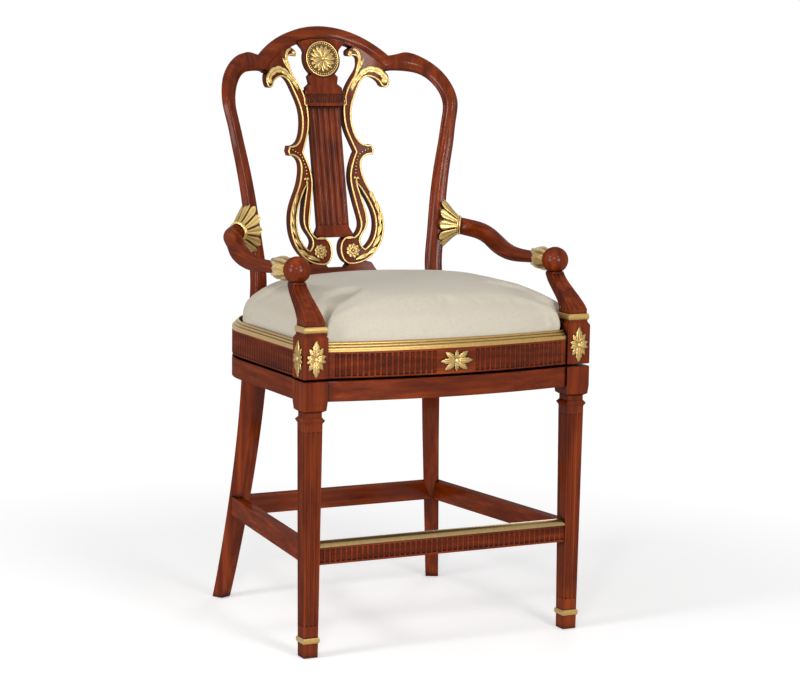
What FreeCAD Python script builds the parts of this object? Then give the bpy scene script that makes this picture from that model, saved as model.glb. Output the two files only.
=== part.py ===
import FreeCAD, Part
import math
import os
import re
from types import SimpleNamespace

import Sketcher

# Driving dimensions in millimetres. Heights are above the floor.
# Depths called "ahead" or "behind" are measured from the swivel axis.
SIZES = (
    ("axis_ahead", 58.3, "swivel axis ahead of the middle of the overall depth"),
    ("leg_spread", 561, "front leg centre to front leg centre"),
    ("leg_ahead", 218.5, "front leg centres ahead of the swivel axis"),
    ("leg_block", 49.5, "side of the square leg head and of the arm post block"),
    ("block_ease", 1.5, "bevel of the block edges at the swivel gap"),
    ("shaft_wide", 35.5, "front leg shaft at its top"),
    ("foot_wide", 28.5, "front leg shaft at the floor"),
    ("shaft_high", 447, "top of the front leg shaft"),
    ("ring_wide", 43, "moulded ring above the shaft"),
    ("ring_tall", 12, "height of the moulded ring"),
    ("neck_wide", 33.5, "neck above the ring"),
    ("neck_tall", 9, "height of the neck"),
    ("head_wide", 46, "leg head at its lower edge"),
    ("head_rise", 4, "slope between neck and leg head"),
    ("flute_low", 62, "lower end of the leg flutes"),
    ("flute_stop", 15, "plain shaft above the leg flutes"),
    ("flute_deep", 1.7, "depth of the flutes of legs and arm supports"),
    ("leg_flutes", 3, "flutes on each face of a leg or arm support"),
    ("foot_collar_low", 29, "lower edge of the foot collar"),
    ("foot_collar_tall", 10.5, "height of the foot collar"),
    ("collar_lip", 2.6, "collar standing proud of what it goes round"),
    ("glide_radius", 9, "foot glide"),
    ("glide_proud", 1.5, "foot glide below the wood"),
    ("glide_deep", 3, "recess for the foot glide"),
    ("rear_leg_half", 199.3, "rear leg centre from the middle, at the apron"),
    ("rear_leg_behind", 222.5, "rear leg centre behind the axis, at the apron"),
    ("rear_splay", 45.2, "rear foot outwards of the leg top"),
    ("rear_sweep", 67, "rear foot backwards of the leg top"),
    ("rear_top_wide", 39, "rear leg section at the apron"),
    ("rear_foot_wide", 27, "rear leg section at the floor"),
    ("rear_turn", 26, "rear legs turned about the vertical, degrees"),
    ("apron_low", 488, "lower edge of the apron"),
    ("frame_high", 527, "top of the leg frame"),
    ("swivel_gap", 4, "gap between leg frame and seat frame"),
    ("frieze_tall", 50, "height of the seat rails"),
    ("apron_thick", 24, "thickness of the apron"),
    ("rail_thick", 34, "thickness of the seat rails"),
    ("frame_round", 2.5, "rounded edges at the swivel gap"),
    ("face_set", 4, "front rails behind the faces of the blocks"),
    ("side_set", 5.25, "side rails inside the faces of the blocks"),
    ("front_bow", 27.7, "bow of the front rails"),
    ("corner_radius", 200, "rear corners of the seat frame"),
    ("corner_behind", 68, "centre of the rear corner curve behind the axis"),
    ("rear_reach", 278, "rear rail at the middle, behind the axis"),
    ("rear_joint", 140, "joint of side and rear seat rail from the middle"),
    ("tenon_thick", 12, "thickness of the tenons"),
    ("tenon_deep", 15, "length of the tenons"),
    ("tenon_clear", 0.15, "clearance round a tenon"),
    ("tenon_set", 6, "tenon inside the edges of its rail"),
    ("flute_pitch", 11.4, "spacing of the rail flutes"),
    ("flute_wide", 7.6, "width of a rail flute"),
    ("rail_flute_deep", 2.6, "depth of the flutes of rails, column and capital"),
    ("flute_margin", 4, "plain edge above and below the rail flutes"),
    ("stretcher_low", 178, "lower edge of the stretchers"),
    ("stretcher_tall", 39, "height of the stretchers"),
    ("stretcher_thick", 20, "thickness of the stretchers"),
    ("stretcher_front", 278.5, "side stretcher from the middle, at the front leg"),
    ("stretcher_rear", 228.5, "side stretcher from the middle, at the rear leg"),
    ("footrest_tall", 33, "height of the footrest rail"),
    ("footrest_thick", 24, "thickness of the footrest rail"),
    ("footrest_ahead", 13.9, "footrest face ahead of the leg centres"),
    ("cap_wide", 27, "brass footrest cap, front to back"),
    ("cap_tall", 11, "brass footrest cap"),
    ("cap_pin_radius", 2.2, "pins of the brass cap"),
    ("cap_pin_long", 18, "pins of the brass cap"),
    ("bearer_behind", 70, "swivel bearers before and behind the axis"),
    ("bearer_wide", 60, "width of the swivel bearers"),
    ("bearer_thick", 22, "thickness of the lower bearers"),
    ("plate_side", 200, "side of the square swivel plates"),
    ("plate_thick", 2.5, "thickness of the swivel plates"),
    ("plate_apart", 14, "space between the swivel plates"),
    ("race_radius", 70, "circle of the swivel balls"),
    ("race_wide", 16, "width of the swivel races"),
    ("ball_radius", 3, "swivel balls"),
    ("ball_count", 24, "number of swivel balls"),
    ("ball_clear", 0.3, "clearance round the swivel balls"),
    ("race_apart", 3, "space between the two races"),
    ("rivet_radius", 10, "hollow rivet through the swivel plates"),
    ("rivet_bore", 7, "bore of the swivel rivet"),
    ("rivet_lip", 4, "flange of the swivel rivet"),
    ("rivet_clear", 0.3, "running clearance of the swivel rivet"),
    ("screw_out", 85, "plate screws from the axis, across"),
    ("screw_radius", 2.2, "shank of the plate screws"),
    ("screw_long", 15, "length of the plate screws in the wood"),
    ("screw_head", 4.4, "head radius of the plate screws"),
    ("screw_head_tall", 1.9, "head height of the plate screws"),
    ("deck_thick", 12, "seat deck"),
    ("deck_clear", 1, "seat deck inside the rails"),
    ("moulding_wide", 13.5, "reeded moulding, in from the rail face"),
    ("moulding_tall", 17, "reeded moulding above the rail"),
    ("reed_count", 3, "reeds on the moulding"),
    ("post_neck_low", 607, "top of the arm post block"),
    ("post_neck_wide", 41.5, "neck of the arm post"),
    ("post_neck_rise", 6, "slope between block and neck of the arm post"),
    ("post_collar_low", 617, "lower edge of the arm post collar"),
    ("post_collar_tall", 12, "height of the arm post collar"),
    ("support_low", 637, "lower end of the fluted arm support"),
    ("support_wide", 39.5, "arm support at its lower end"),
    ("support_top_wide", 27, "arm support below the knob"),
    ("knob_radius", 26, "ball knob"),
    ("knob_half", 278, "ball knob from the middle"),
    ("knob_ahead", 149, "ball knob ahead of the axis"),
    ("knob_high", 725, "centre of the ball knob"),
    ("knob_seat", 4, "arm support let into the knob"),
    ("arm_thick", 37, "arm at its thickest"),
    ("arm_high", 768, "centre of the arm at the back post"),
    ("arm_bulge", 57, "arm outwards of the line from post to knob"),
    ("arm_dip", 26.4, "arm below the line from post to knob"),
    ("cup_long", 84, "acanthus cup before the knob"),
    ("cup_wide", 42, "acanthus cup at its widest"),
    ("palmette_tall", 104, "palmette on the back post"),
    ("palmette_wide", 54, "palmette across the post"),
    ("palmette_long", 44, "palmette from the post centre along the arm"),
    ("back_lean", 12, "lean of the back, degrees"),
    ("back_behind", 269.3, "front of the back behind the axis, at the lyre rosettes"),
    ("rosette_high", 710.6, "height of the lyre rosettes"),
    ("back_radius_low", 440, "plan radius of the back at the leg frame top"),
    ("back_radius_mid", 340, "plan radius of the back at half its height"),
    ("back_radius_top", 470, "plan radius of the back at the crest"),
    ("post_half", 189, "back post from the middle, at its foot"),
    ("post_splay", 48, "back post outwards over its height"),
    ("post_wide", 34, "back post width at its foot"),
    ("post_top_wide", 22, "back post width at the shoulder"),
    ("post_deep", 22, "back post thickness at its foot"),
    ("post_top_deep", 17, "back post thickness at the shoulder"),
    ("post_round", 5, "rounded edges of the back posts and crest"),
    ("post_crown", 3.2, "rounded front of the back posts and crest"),
    ("post_foot", 537, "lower end of the back posts"),
    ("shoulder_low", 980, "height where the shoulder curve starts"),
    ("shoulder_tall", 138, "shoulder above its start"),
    ("shoulder_reach", 112, "shoulder outwards of the crest arch"),
    ("back_high", 1170, "top of the crest"),
    ("arch_half", 143, "half width of the crest arch"),
    ("arch_rise", 59, "rise of the crest arch"),
    ("arch_tall", 29, "height of the crest section at the middle"),
    ("arch_end_tall", 34, "height of the crest section at the shoulder"),
    ("arch_inset", 11, "underside of the arch ends inside the top"),
    ("arch_deep", 22, "thickness of the crest"),
    ("splat_deep", 20, "thickness of the lyre"),
    ("lyre_half", 139, "half width of the lyre"),
    ("lyre_foot", 27.6, "lowest point of the lyre below the rosettes"),
    ("shoe_high", 676, "top of the splat shoe"),
    ("shoe_half", 86, "half width of the splat shoe"),
    ("column_half", 35, "half width of the centre column"),
    ("column_deep", 14, "thickness of the centre column"),
    ("column_behind", 5, "centre column behind the lyre face"),
    ("capital_ahead", 2.5, "capital ahead of the lyre face"),
    ("capital_deep", 17, "thickness of the capital"),
    ("column_low", 738, "lower end of the centre column"),
    ("column_base_tall", 19, "base of the centre column"),
    ("capital_low", 1010, "lower edge of the capital"),
    ("capital_tall", 27, "height of the capital"),
    ("capital_half", 45.5, "half width of the capital"),
    ("column_flutes", 5, "flutes of the centre column"),
    ("capital_flutes", 15, "flutes of the capital"),
    ("medallion_high", 1101, "centre of the medallion"),
    ("medallion_radius", 37, "gilt medallion"),
    ("medallion_deep", 4, "gilt medallion"),
    ("medallion_rim", 3, "wooden disc round the medallion"),
    ("rosette_half", 37, "lyre rosettes from the middle"),
    ("rosette_radius", 14, "lyre rosettes"),
    ("ornament_deep", 4, "applied ornaments"),
    ("block_rosette_wide", 38, "ornament on the blocks"),
    ("block_rosette_tall", 64, "ornament on the blocks"),
    ("rail_rosette_wide", 64, "ornament on the front rail"),
    ("rail_rosette_tall", 36, "ornament on the front rail"),
    ("cushion_gap", 0.4, "cushion above the deck and inside the moulding"),
    ("cushion_bulge_high", 26, "widest level of the cushion above the deck"),
    ("cushion_crown", 103, "crown of the cushion above the deck"),
    ("cushion_draw", 5, "sides of the cushion drawn in at the deck"),
    ("cushion_over", 7, "sides of the cushion over the moulding"),
)

# Outline of one lyre half: hundredths of its half width and of its height, going round from the crest.
LYRE_HOOK = ((55, 102.5), (47.5, 100.6), (42.3, 98.9), (43.6, 97), (48.5, 97.3), (54.5, 97.2), (58.6, 94.5))
LYRE_INNER = ((58.6, 94.5), (57, 91.5), (50, 88), (42, 84.3), (32.5, 77.8), (28.8, 68.2), (31, 62.7), (36, 58),
              (43.2, 52.2))
LYRE_WAIST = ((43.2, 52.2), (36, 47.2), (31, 40), (33.8, 32.3), (39.6, 23.4), (41, 17), (36.7, 14.4), (30.2, 12.6))
LYRE_SCROLL = ((30.2, 12.6), (12, 11.5), (6.8, 6.2), (12.5, 1.3), (26.6, 0))
LYRE_BOWL = ((26.6, 0), (51.8, 2.8), (71.9, 11), (76.3, 21.3), (72.7, 26.5), (58.3, 35.5), (50.4, 42.8),
             (53.2, 49.4), (59.7, 50.8), (68.3, 51))
LYRE_EAR = ((70.5, 53.1), (67.6, 55.6))
LYRE_ARM = ((67.6, 55.6), (52, 56.7), (42, 63.6), (42.4, 73), (52.5, 81.2), (67.6, 87.4), (82, 86.4), (89, 83.4))
LYRE_TIP = ((89, 83.4), (96, 82.6), (100, 87.6), (95, 90))
LYRE_CROWN = ((93.5, 93), (55, 102.5))
LYRE = (LYRE_HOOK, LYRE_INNER, LYRE_WAIST, LYRE_SCROLL, LYRE_BOWL, LYRE_EAR, LYRE_ARM, LYRE_TIP, LYRE_CROWN)
LYRE_SLOT_OUTER = ((41, 37.7), (55.4, 29.8), (64, 20.8), (60.4, 13), (45.3, 7))
LYRE_SLOT_INNER = ((45.3, 7), (39.6, 11.6), (49.6, 16.7), (50.4, 26), (41, 37.7))

# One arm from the back post to the knob: shares of the run, the bulge, the dip and the thickness.
ARM_PATH = (
    (0.0, 0.0, 0.0, 0.80), (0.057, 0.56, 0.0, 0.92), (0.094, 0.86, 0.13, 0.95), (0.194, 1.0, 0.22, 0.97),
    (0.294, 1.0, 0.62, 1.0), (0.433, 0.85, 1.0, 0.9), (0.596, 0.64, 0.87, 0.73), (0.772, 0.37, 0.48, 0.65),
    (0.962, 0.05, 0.08, 0.62),
)
# One back post: shares of its height and of its splay.
POST_PATH = ((0, 0), (0.3, 0.083), (0.458, 0.198), (0.628, 0.375), (0.722, 0.5), (0.815, 0.656), (0.907, 0.833),
             (1, 1))
# One shoulder from the arch to the post: outer and inner edge as shares of its reach and height.
SHOULDER_PATH = (
    (0.286, 1.0, 0.152, 0.739), (0.598, 0.913, 0.464, 0.696), (0.839, 0.732, 0.634, 0.587),
    (0.964, 0.522, 0.75, 0.42), (1.0, 0.29, 0.79, 0.232),
)
# One rear leg from the floor up: shares of its height, of its splay and of its sweep.
REAR_LEG_PATH = ((0, 1, 1), (0.19, 0.73, 0.715), (0.38, 0.49, 0.48), (0.57, 0.28, 0.285), (0.76, 0.12, 0.13), (1, 0, 0))

UP = FreeCAD.Vector(0, 0, 1)
SIDES = (("left", -1), ("right", 1))

doc = FreeCAD.newDocument("CounterChair")
sheet = doc.addObject("Spreadsheet::Sheet", "Sizes")
for row, (alias, number, meaning) in enumerate(SIZES, start=1):
    sheet.set(f"A{row}", meaning)
    sheet.set(f"B{row}", str(number))
    sheet.setAlias(f"B{row}", alias)
doc.recompute()
size = SimpleNamespace(**{alias: float(sheet.get(alias)) for alias, _, _ in SIZES})
nodes = {}


def expression(text):
    """Write each size's name as a reference to its cell."""
    names = vars(size)
    return re.sub(r"[a-z_]+", lambda word: f"Sizes.{word[0]}" if word[0] in names else word[0], str(text))


def value(text):
    """Number that an expression has now."""
    return float(sheet.evalExpression(expression(text)))


def bind(obj, **expressions):
    """Tie properties of an object to the sheet; two underscores stand for a dot."""
    for name, text in expressions.items():
        obj.setExpression(name.replace("__", "."), expression(text))


def keep(label, obj):
    """Give a finished sub-part its name."""
    obj.Label = label
    nodes[label] = obj
    return obj


def vec(x, y, z):
    """Point whose depth is given from the swivel axis."""
    return FreeCAD.Vector(x, y - size.axis_ahead, z)


def behind(text):
    """Expression of a depth that is given from the swivel axis."""
    return f"({text}) - axis_ahead"


def shaped(name, shape):
    """Object whose shape is made from the sizes by a loft or a loop."""
    obj = doc.addObject("Part::Feature", name)
    obj.Shape = shape
    return obj


def block(name, width, depth, height, x, y, low):
    """Box centred on x and y and standing on low."""
    obj = doc.addObject("Part::Box", name)
    bind(obj, Length=width, Width=depth, Height=height)
    bind(obj, Placement__Base__x=f"({x}) - ({width}) / 2", Placement__Base__z=low)
    bind(obj, Placement__Base__y=behind(f"({y}) - ({depth}) / 2"))
    return obj


def drum(name, radius, height, x, y, low):
    """Upright cylinder standing on low."""
    obj = doc.addObject("Part::Cylinder", name)
    bind(obj, Radius=radius, Height=height)
    bind(obj, Placement__Base__x=x, Placement__Base__y=behind(y), Placement__Base__z=low)
    return obj


def fuse(name, parts):
    obj = doc.addObject("Part::MultiFuse", name)
    obj.Shapes = parts
    obj.Refine = False
    return obj


def cut(name, base, *tools):
    """Base without the tools."""
    obj = doc.addObject("Part::Cut", name)
    obj.Base = base
    obj.Tool = tools[0] if len(tools) == 1 else fuse(f"{name}_tools", list(tools))
    obj.Refine = False
    return obj


def group(name, parts):
    obj = doc.addObject("Part::Compound", name)
    obj.Links = parts
    return obj


def sketch_in(body, name, role, height="0"):
    """Sketch on one of the body's own planes, raised by height."""
    sketch = body.newObject("Sketcher::SketchObject", name)
    plane = next(item for item in body.Origin.OriginFeatures if item.Role == role)
    sketch.AttachmentSupport = [(plane, "")]
    sketch.MapMode = "FlatFace"
    bind(sketch, AttachmentOffset__Base__z=height)
    return sketch


def fix_point(sketch, geometry, position, x, y):
    """Hold a sketch point at two expressions."""
    for kind, axis, text in (("DistanceX", -2, x), ("DistanceY", -1, y)):
        if str(text) == "0":
            sketch.addConstraint(Sketcher.Constraint("PointOnObject", geometry, position, axis))
            continue
        index = sketch.addConstraint(Sketcher.Constraint(kind, -1, 1, geometry, position, value(text)))
        sketch.setExpression(f"Constraints[{index}]", expression(text))


def outline(sketch, points, arcs):
    """Closed outline of lines and arcs; arcs maps an edge to a point that it passes."""
    corners = [FreeCAD.Vector(value(x), value(y), 0) for x, y in points]
    starts = []
    for index, corner in enumerate(corners):
        following = corners[(index + 1) % len(corners)]
        if index in arcs:
            passed = FreeCAD.Vector(*(value(text) for text in arcs[index]), 0)
            edge = sketch.addGeometry(Part.Arc(corner, passed, following), False)
        else:
            edge = sketch.addGeometry(Part.LineSegment(corner, following), False)
        first = 1 if sketch.getPoint(edge, 1).distanceToPoint(corner) < 1e-6 else 2
        starts.append((edge, first))
    for index, (edge, first) in enumerate(starts):
        after, start = starts[(index + 1) % len(starts)]
        sketch.addConstraint(Sketcher.Constraint("Coincident", edge, 3 - first, after, start))
        fix_point(sketch, edge, first, *points[index])
    for index, (x, y) in arcs.items():
        mark = sketch.addGeometry(Part.Point(FreeCAD.Vector(value(x), value(y), 0)), True)
        sketch.addConstraint(Sketcher.Constraint("PointOnObject", mark, 1, starts[index][0]))
        fix_point(sketch, mark, 1, x, y)


def padded_outline(name, points, arcs, low, height):
    """Body with one upright pad."""
    body = doc.addObject("PartDesign::Body", name)
    sketch = sketch_in(body, f"{name}_plan", "XY_Plane", low)
    outline(sketch, points, arcs)
    pad = body.newObject("PartDesign::Pad", f"{name}_pad")
    pad.Profile = sketch
    bind(pad, Length=height)
    return body


def round_edges(body, chosen):
    """Round the outer edges of a rail that lie at one height."""
    doc.recompute()
    rail = body.Tip
    names = [f"Edge{number}" for number, edge in enumerate(rail.Shape.Edges, start=1) if chosen(edge)]
    fillet = body.newObject("PartDesign::Fillet", f"{body.Name}_round")
    fillet.Base = (rail, names)
    bind(fillet, Radius="frame_round")


def loft(wires, ruled=False):
    """Closed solid through wires."""
    shape = Part.makeLoft(wires, True, ruled)
    solid = shape.Solids[0]
    return solid if solid.Volume > 0 else solid.reversed()


def square_wire(centre, side):
    half = side / 2
    corners = [centre + FreeCAD.Vector(x * half, y * half, 0) for x, y in ((-1, -1), (1, -1), (1, 1), (-1, 1))]
    return Part.makePolygon(corners + corners[:1])


def square_stack(levels, x=0.0, y=0.0):
    """Stack of tapering squares; levels are pairs of height and side."""
    return loft([square_wire(FreeCAD.Vector(x, y, high), side) for high, side in levels], True)


def fluted_wire(centre, side):
    """Level square with hollow flutes in each face."""
    count = int(size.leg_flutes)
    pitch = side / (count + 0.35)
    half_flute = pitch * 0.36
    edges = []
    for turn in range(4):
        spin = FreeCAD.Rotation(UP, 90 * turn)
        place = lambda along, inward: centre + spin.multVec(FreeCAD.Vector(along, inward - side / 2, 0))
        last = place(-side / 2, 0)
        for number in range(count):
            middle = (number - (count - 1) / 2) * pitch
            first = place(middle - half_flute, 0)
            second = place(middle + half_flute, 0)
            edges.append(Part.LineSegment(last, first).toShape())
            edges.append(Part.Arc(first, place(middle, size.flute_deep), second).toShape())
            last = second
        edges.append(Part.LineSegment(last, place(side / 2, 0)).toShape())
    return Part.Wire(edges)


def bar_wire(front, across, inward, width, depth, radius, crown=0.0):
    """Rounded rectangle with a flat or crowned front face; across and inward are unit vectors."""
    radius = min(radius, 0.4 * width, 0.4 * depth)
    corners = ((-1, 0), (1, 0), (1, 1), (-1, 1))
    spot = lambda u, v: front + across * u + inward * v
    half = width / 2
    edges = []
    for index, (u, v) in enumerate(corners):
        next_u, next_v = corners[(index + 1) % 4]
        along_u = (next_u - u) / 2 * radius
        along_v = (next_v - v) * radius
        start = spot(u * half + along_u, v * depth + along_v)
        end = spot(next_u * half - along_u, next_v * depth - along_v)
        if index == 0 and crown > 0:
            edges.append(Part.Arc(start, spot(0, -crown), end).toShape())
        else:
            edges.append(Part.LineSegment(start, end).toShape())
        after_u, after_v = corners[(index + 2) % 4]
        turn_u = (after_u - next_u) / 2 * radius
        turn_v = (after_v - next_v) * radius
        finish = spot(next_u * half + turn_u, next_v * depth + turn_v)
        ease = 1 - math.sqrt(0.5)
        bend = spot(next_u * half + (turn_u - along_u) * ease, next_v * depth + (turn_v - along_v) * ease)
        edges.append(Part.Arc(end, bend, finish).toShape())
    return Part.Wire(edges)


def circle_wire(centre, direction, radius):
    return Part.Wire(Part.Circle(centre, direction, radius).toShape())


def spline_edge(points):
    curve = Part.BSplineCurve()
    curve.interpolate(points)
    return curve.toShape()


def mirrored(shape):
    return shape.mirror(FreeCAD.Vector(0, 0, 0), FreeCAD.Vector(1, 0, 0))


def sided(shape, sign):
    """Shape modelled on the right, or its mirror image."""
    return shape if sign > 0 else mirrored(shape)


# Plan of the seat frame, shared by the apron, the seat rails, the moulding and the deck.
SIDE_X = "(leg_spread / 2 + leg_block / 2 - side_set)"
BLOCK_X = "(leg_spread / 2 - leg_block / 2)"
BLOCK_BACK = "(leg_block / 2 - leg_ahead)"
FACE_Y = "(face_set - leg_ahead - leg_block / 2)"
CORNER_X = f"({SIDE_X} - corner_radius)"
SEAT_LOW = "(frame_high + swivel_gap)"
RAIL_TOP = f"({SEAT_LOW} + frieze_tall)"


def corner_point(x, inset):
    """Point of the rear corner curve, moved in along its radius; x is taken on the outer curve."""
    share = f"(corner_radius - ({inset})) / corner_radius"
    rise = f"sqrt(corner_radius ^ 2 - ({x} - {CORNER_X}) ^ 2)"
    return f"{CORNER_X} + ({x} - {CORNER_X}) * {share}", behind(f"corner_behind + {rise} * {share}")


def corner_bend(x, inset):
    """Point half way round the rear corner curve up to x."""
    angle_share = "sqrt(0.5 + ({0} - {1}) / corner_radius / 2)".format(x, CORNER_X)
    reach = f"(corner_radius - ({inset}))"
    up_share = f"sqrt(1 - ({angle_share}) ^ 2)"
    return f"{CORNER_X} + {reach} * {angle_share}", behind(f"corner_behind + {reach} * {up_share}")


def flip(point, sign):
    x, y = point
    return (x, y) if sign > 0 else (f"-({x})", y)


def front_rail(name, thick, low, height):
    face = behind(FACE_Y)
    back = behind(f"{FACE_Y} + {thick}")
    points = ((f"-{BLOCK_X}", face), (BLOCK_X, face), (BLOCK_X, back), (f"-{BLOCK_X}", back))
    return padded_outline(name, points, {0: ("0", behind(f"{FACE_Y} - front_bow"))}, low, height)


def side_rail(name, sign, thick, low, height, end_x):
    """Straight side with its curved rear corner, up to end_x."""
    start = (SIDE_X, behind(BLOCK_BACK))
    bend = (SIDE_X, behind("corner_behind"))
    inner_bend = (f"{SIDE_X} - {thick}", behind("corner_behind"))
    inner_start = (f"{SIDE_X} - {thick}", behind(BLOCK_BACK))
    points = [start, bend, corner_point(end_x, "0"), corner_point(end_x, thick), inner_bend, inner_start]
    arcs = {1: corner_bend(end_x, "0"), 3: corner_bend(end_x, thick)}
    points = [flip(point, sign) for point in points]
    arcs = {edge: flip(point, sign) for edge, point in arcs.items()}
    return padded_outline(name, points, arcs, low, height)


def rear_points(thick, end_x):
    """Rear rail between the two points of the corner curves at end_x."""
    outer = corner_point(end_x, "0")
    inner = corner_point(end_x, thick)
    points = [outer, flip(outer, -1), flip(inner, -1), inner]
    arcs = {0: ("0", behind("rear_reach")), 2: ("0", behind(f"rear_reach - {thick}"))}
    return points, arcs


def at_height(high):
    """Test for the outer edges of a rail at one height."""
    def chosen(edge):
        level = all(abs(point.Point.z - high) < 1e-4 for point in edge.Vertexes)
        if not level or edge.Length < 60:
            return False
        middle = edge.valueAt((edge.FirstParameter + edge.LastParameter) / 2)
        depth = middle.y + size.axis_ahead
        return abs(middle.x) > value(SIDE_X) - 4 or depth < value(FACE_Y) - 1 or outside_corner(middle.x, depth)
    return chosen


def outside_corner(x, depth):
    if depth < size.corner_behind:
        return False
    reach = math.hypot(abs(x) - value(CORNER_X), depth - size.corner_behind)
    return reach > size.corner_radius - 4 or depth > size.rear_reach - 4


def flute_tool(feet, low, high):
    """Upright hollow cutters; feet are points of the face with their outward directions."""
    radius = (size.flute_wide ** 2 / 4 + size.rail_flute_deep ** 2) / (2 * size.rail_flute_deep)
    cutters = []
    for foot, outward in feet:
        centre = foot + outward * (radius - size.rail_flute_deep)
        cutters.append(Part.makeCylinder(radius, high - low, FreeCAD.Vector(centre.x, centre.y, low)))
    return Part.makeCompound(cutters)


def bow_radius():
    half = value(BLOCK_X)
    return (half ** 2 + size.front_bow ** 2) / (2 * size.front_bow)


def front_flutes():
    """Flute places along the bowed front, left clear under the middle ornament."""
    radius = bow_radius()
    centre = vec(0, value(FACE_Y) - size.front_bow + radius, 0)
    half = value(BLOCK_X) - size.flute_pitch / 2
    clear = size.rail_rosette_wide / 2 + size.flute_wide / 2
    feet = []
    for number in range(-int(half / size.flute_pitch), int(half / size.flute_pitch) + 1):
        angle = number * size.flute_pitch / radius
        outward = FreeCAD.Vector(math.sin(angle), -math.cos(angle), 0)
        if clear < abs(radius * math.sin(angle)) < half:
            feet.append((centre + outward * radius, outward))
    return feet


def side_flutes(sign):
    """Flute places along the straight side and round its rear corner."""
    feet = []
    straight = size.corner_behind - value(BLOCK_BACK)
    count = int((straight + size.corner_radius * math.radians(58)) / size.flute_pitch)
    for number in range(1, count + 1):
        run = (number - 0.4) * size.flute_pitch
        if run <= straight:
            feet.append((vec(sign * value(SIDE_X), value(BLOCK_BACK) + run, 0), FreeCAD.Vector(sign, 0, 0)))
            continue
        angle = (run - straight) / size.corner_radius
        outward = FreeCAD.Vector(sign * math.cos(angle), math.sin(angle), 0)
        centre = vec(sign * value(CORNER_X), size.corner_behind, 0)
        feet.append((centre + outward * size.corner_radius, outward))
    return feet


# The back is a surface that leans and is hollow towards the sitter.
BACK_LOW = size.frame_high
BACK_TOP = size.back_high + size.arch_tall


def back_radius(high):
    middle = (BACK_LOW + BACK_TOP) / 2
    levels = ((BACK_LOW, size.back_radius_low), (middle, size.back_radius_mid), (BACK_TOP, size.back_radius_top))
    total = 0
    for level, radius in levels:
        share = 1
        for other, _ in levels:
            if other != level:
                share *= (high - other) / (level - other)
        total += radius * share
    return total


def back_y(x, high):
    """Depth of the front of the back, from the swivel axis."""
    radius = back_radius(high)
    lean = math.tan(math.radians(size.back_lean))
    return size.back_behind + lean * (high - size.rosette_high) - radius + math.sqrt(radius ** 2 - x ** 2)


def back_point(x, high):
    return vec(x, back_y(x, high), high)


def back_inward(x, high):
    """Unit vector from the sitter into the back."""
    step = 0.5
    slope_x = (back_y(x + step, high) - back_y(x - step, high)) / (2 * step)
    slope_z = (back_y(x, high + step) - back_y(x, high - step)) / (2 * step)
    normal = FreeCAD.Vector(-slope_x, 1, -slope_z)
    return normal.normalize()


def back_bar(outer, inner, depth):
    """Section of a post or of the crest between two points of the back, given as x and height."""
    middle_x = (outer[0] + inner[0]) / 2
    middle_z = (outer[1] + inner[1]) / 2
    span = back_point(*outer) - back_point(*inner)
    across = FreeCAD.Vector(span).normalize()
    inward = back_inward(middle_x, middle_z)
    inward = (inward - across * inward.dot(across)).normalize()
    front = back_point(middle_x, middle_z)
    return bar_wire(front, across, inward, span.Length, depth, size.post_round, size.post_crown)


def back_slab(ahead, depth, half, low, high):
    """Curved board that follows the back between two heights."""
    wires = []
    for level in (low, (low + high) / 2, high):
        front = [back_point(x, level) - FreeCAD.Vector(0, ahead, 0) for x in (-half, 0, half)]
        rear = [point + FreeCAD.Vector(0, depth, 0) for point in front]
        edges = [
            Part.Arc(*front).toShape(),
            Part.LineSegment(front[2], rear[2]).toShape(),
            Part.Arc(rear[2], rear[1], rear[0]).toShape(),
            Part.LineSegment(rear[0], front[0]).toShape(),
        ]
        wires.append(Part.Wire(edges))
    return loft(wires)


def elevation(edges):
    """Outline in front view made into a deep prism."""
    deep = FreeCAD.Vector(0, 2 * size.back_high, 0)
    return Part.Face(Part.Wire(edges)).extrude(deep)


def elevation_polygon(points):
    corners = [FreeCAD.Vector(x, -size.back_high, high) for x, high in points]
    return elevation(Part.makePolygon(corners + corners[:1]).Edges)


def flower(wide, tall, lobes, depth):
    """Flat petalled ornament in the XZ plane, standing forward of the plane."""
    points = []
    steps = 6 * lobes
    for step in range(steps):
        angle = 2 * math.pi * step / steps
        reach = 0.84 + 0.16 * math.cos(lobes * angle)
        points.append(FreeCAD.Vector(wide / 2 * reach * math.sin(angle), 0, tall / 2 * reach * math.cos(angle)))
    curve = Part.BSplineCurve()
    curve.interpolate(points, PeriodicFlag=True)
    return Part.Face(Part.Wire(curve.toShape())).extrude(FreeCAD.Vector(0, -depth, 0))


def set_facing(shape, place, outward):
    """Move an ornament to its place and turn it to face outward."""
    turned = shape.copy()
    turned.Placement = FreeCAD.Placement(place, FreeCAD.Rotation(FreeCAD.Vector(0, -1, 0), outward))
    return turned


def shaft_side(high):
    """Width of a front leg shaft at a height."""
    return size.foot_wide + (size.shaft_wide - size.foot_wide) * high / size.shaft_high


def front_leg_blank(sign):
    x = sign * size.leg_spread / 2
    y = -size.leg_ahead - size.axis_ahead
    top = size.shaft_high - size.flute_stop
    ring = size.shaft_high + size.ring_tall
    neck = ring + size.neck_tall
    head = neck + size.head_rise
    foot = square_stack([(size.glide_proud, shaft_side(0)), (size.flute_low, shaft_side(size.flute_low))], x, y)
    fluted = loft([fluted_wire(FreeCAD.Vector(x, y, high), shaft_side(high)) for high in (size.flute_low, top)], True)
    block_low = size.frame_high - size.block_ease
    levels = [
        (top, shaft_side(top)), (size.shaft_high, size.shaft_wide),
        (size.shaft_high + size.ring_tall / 2, size.ring_wide), (ring, size.neck_wide), (neck, size.neck_wide),
        (head, size.head_wide), (size.apron_low, size.leg_block), (block_low, size.leg_block),
        (size.frame_high, size.leg_block - 2 * size.block_ease),
    ]
    return foot.fuse([fluted, square_stack(levels, x, y)])


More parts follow.
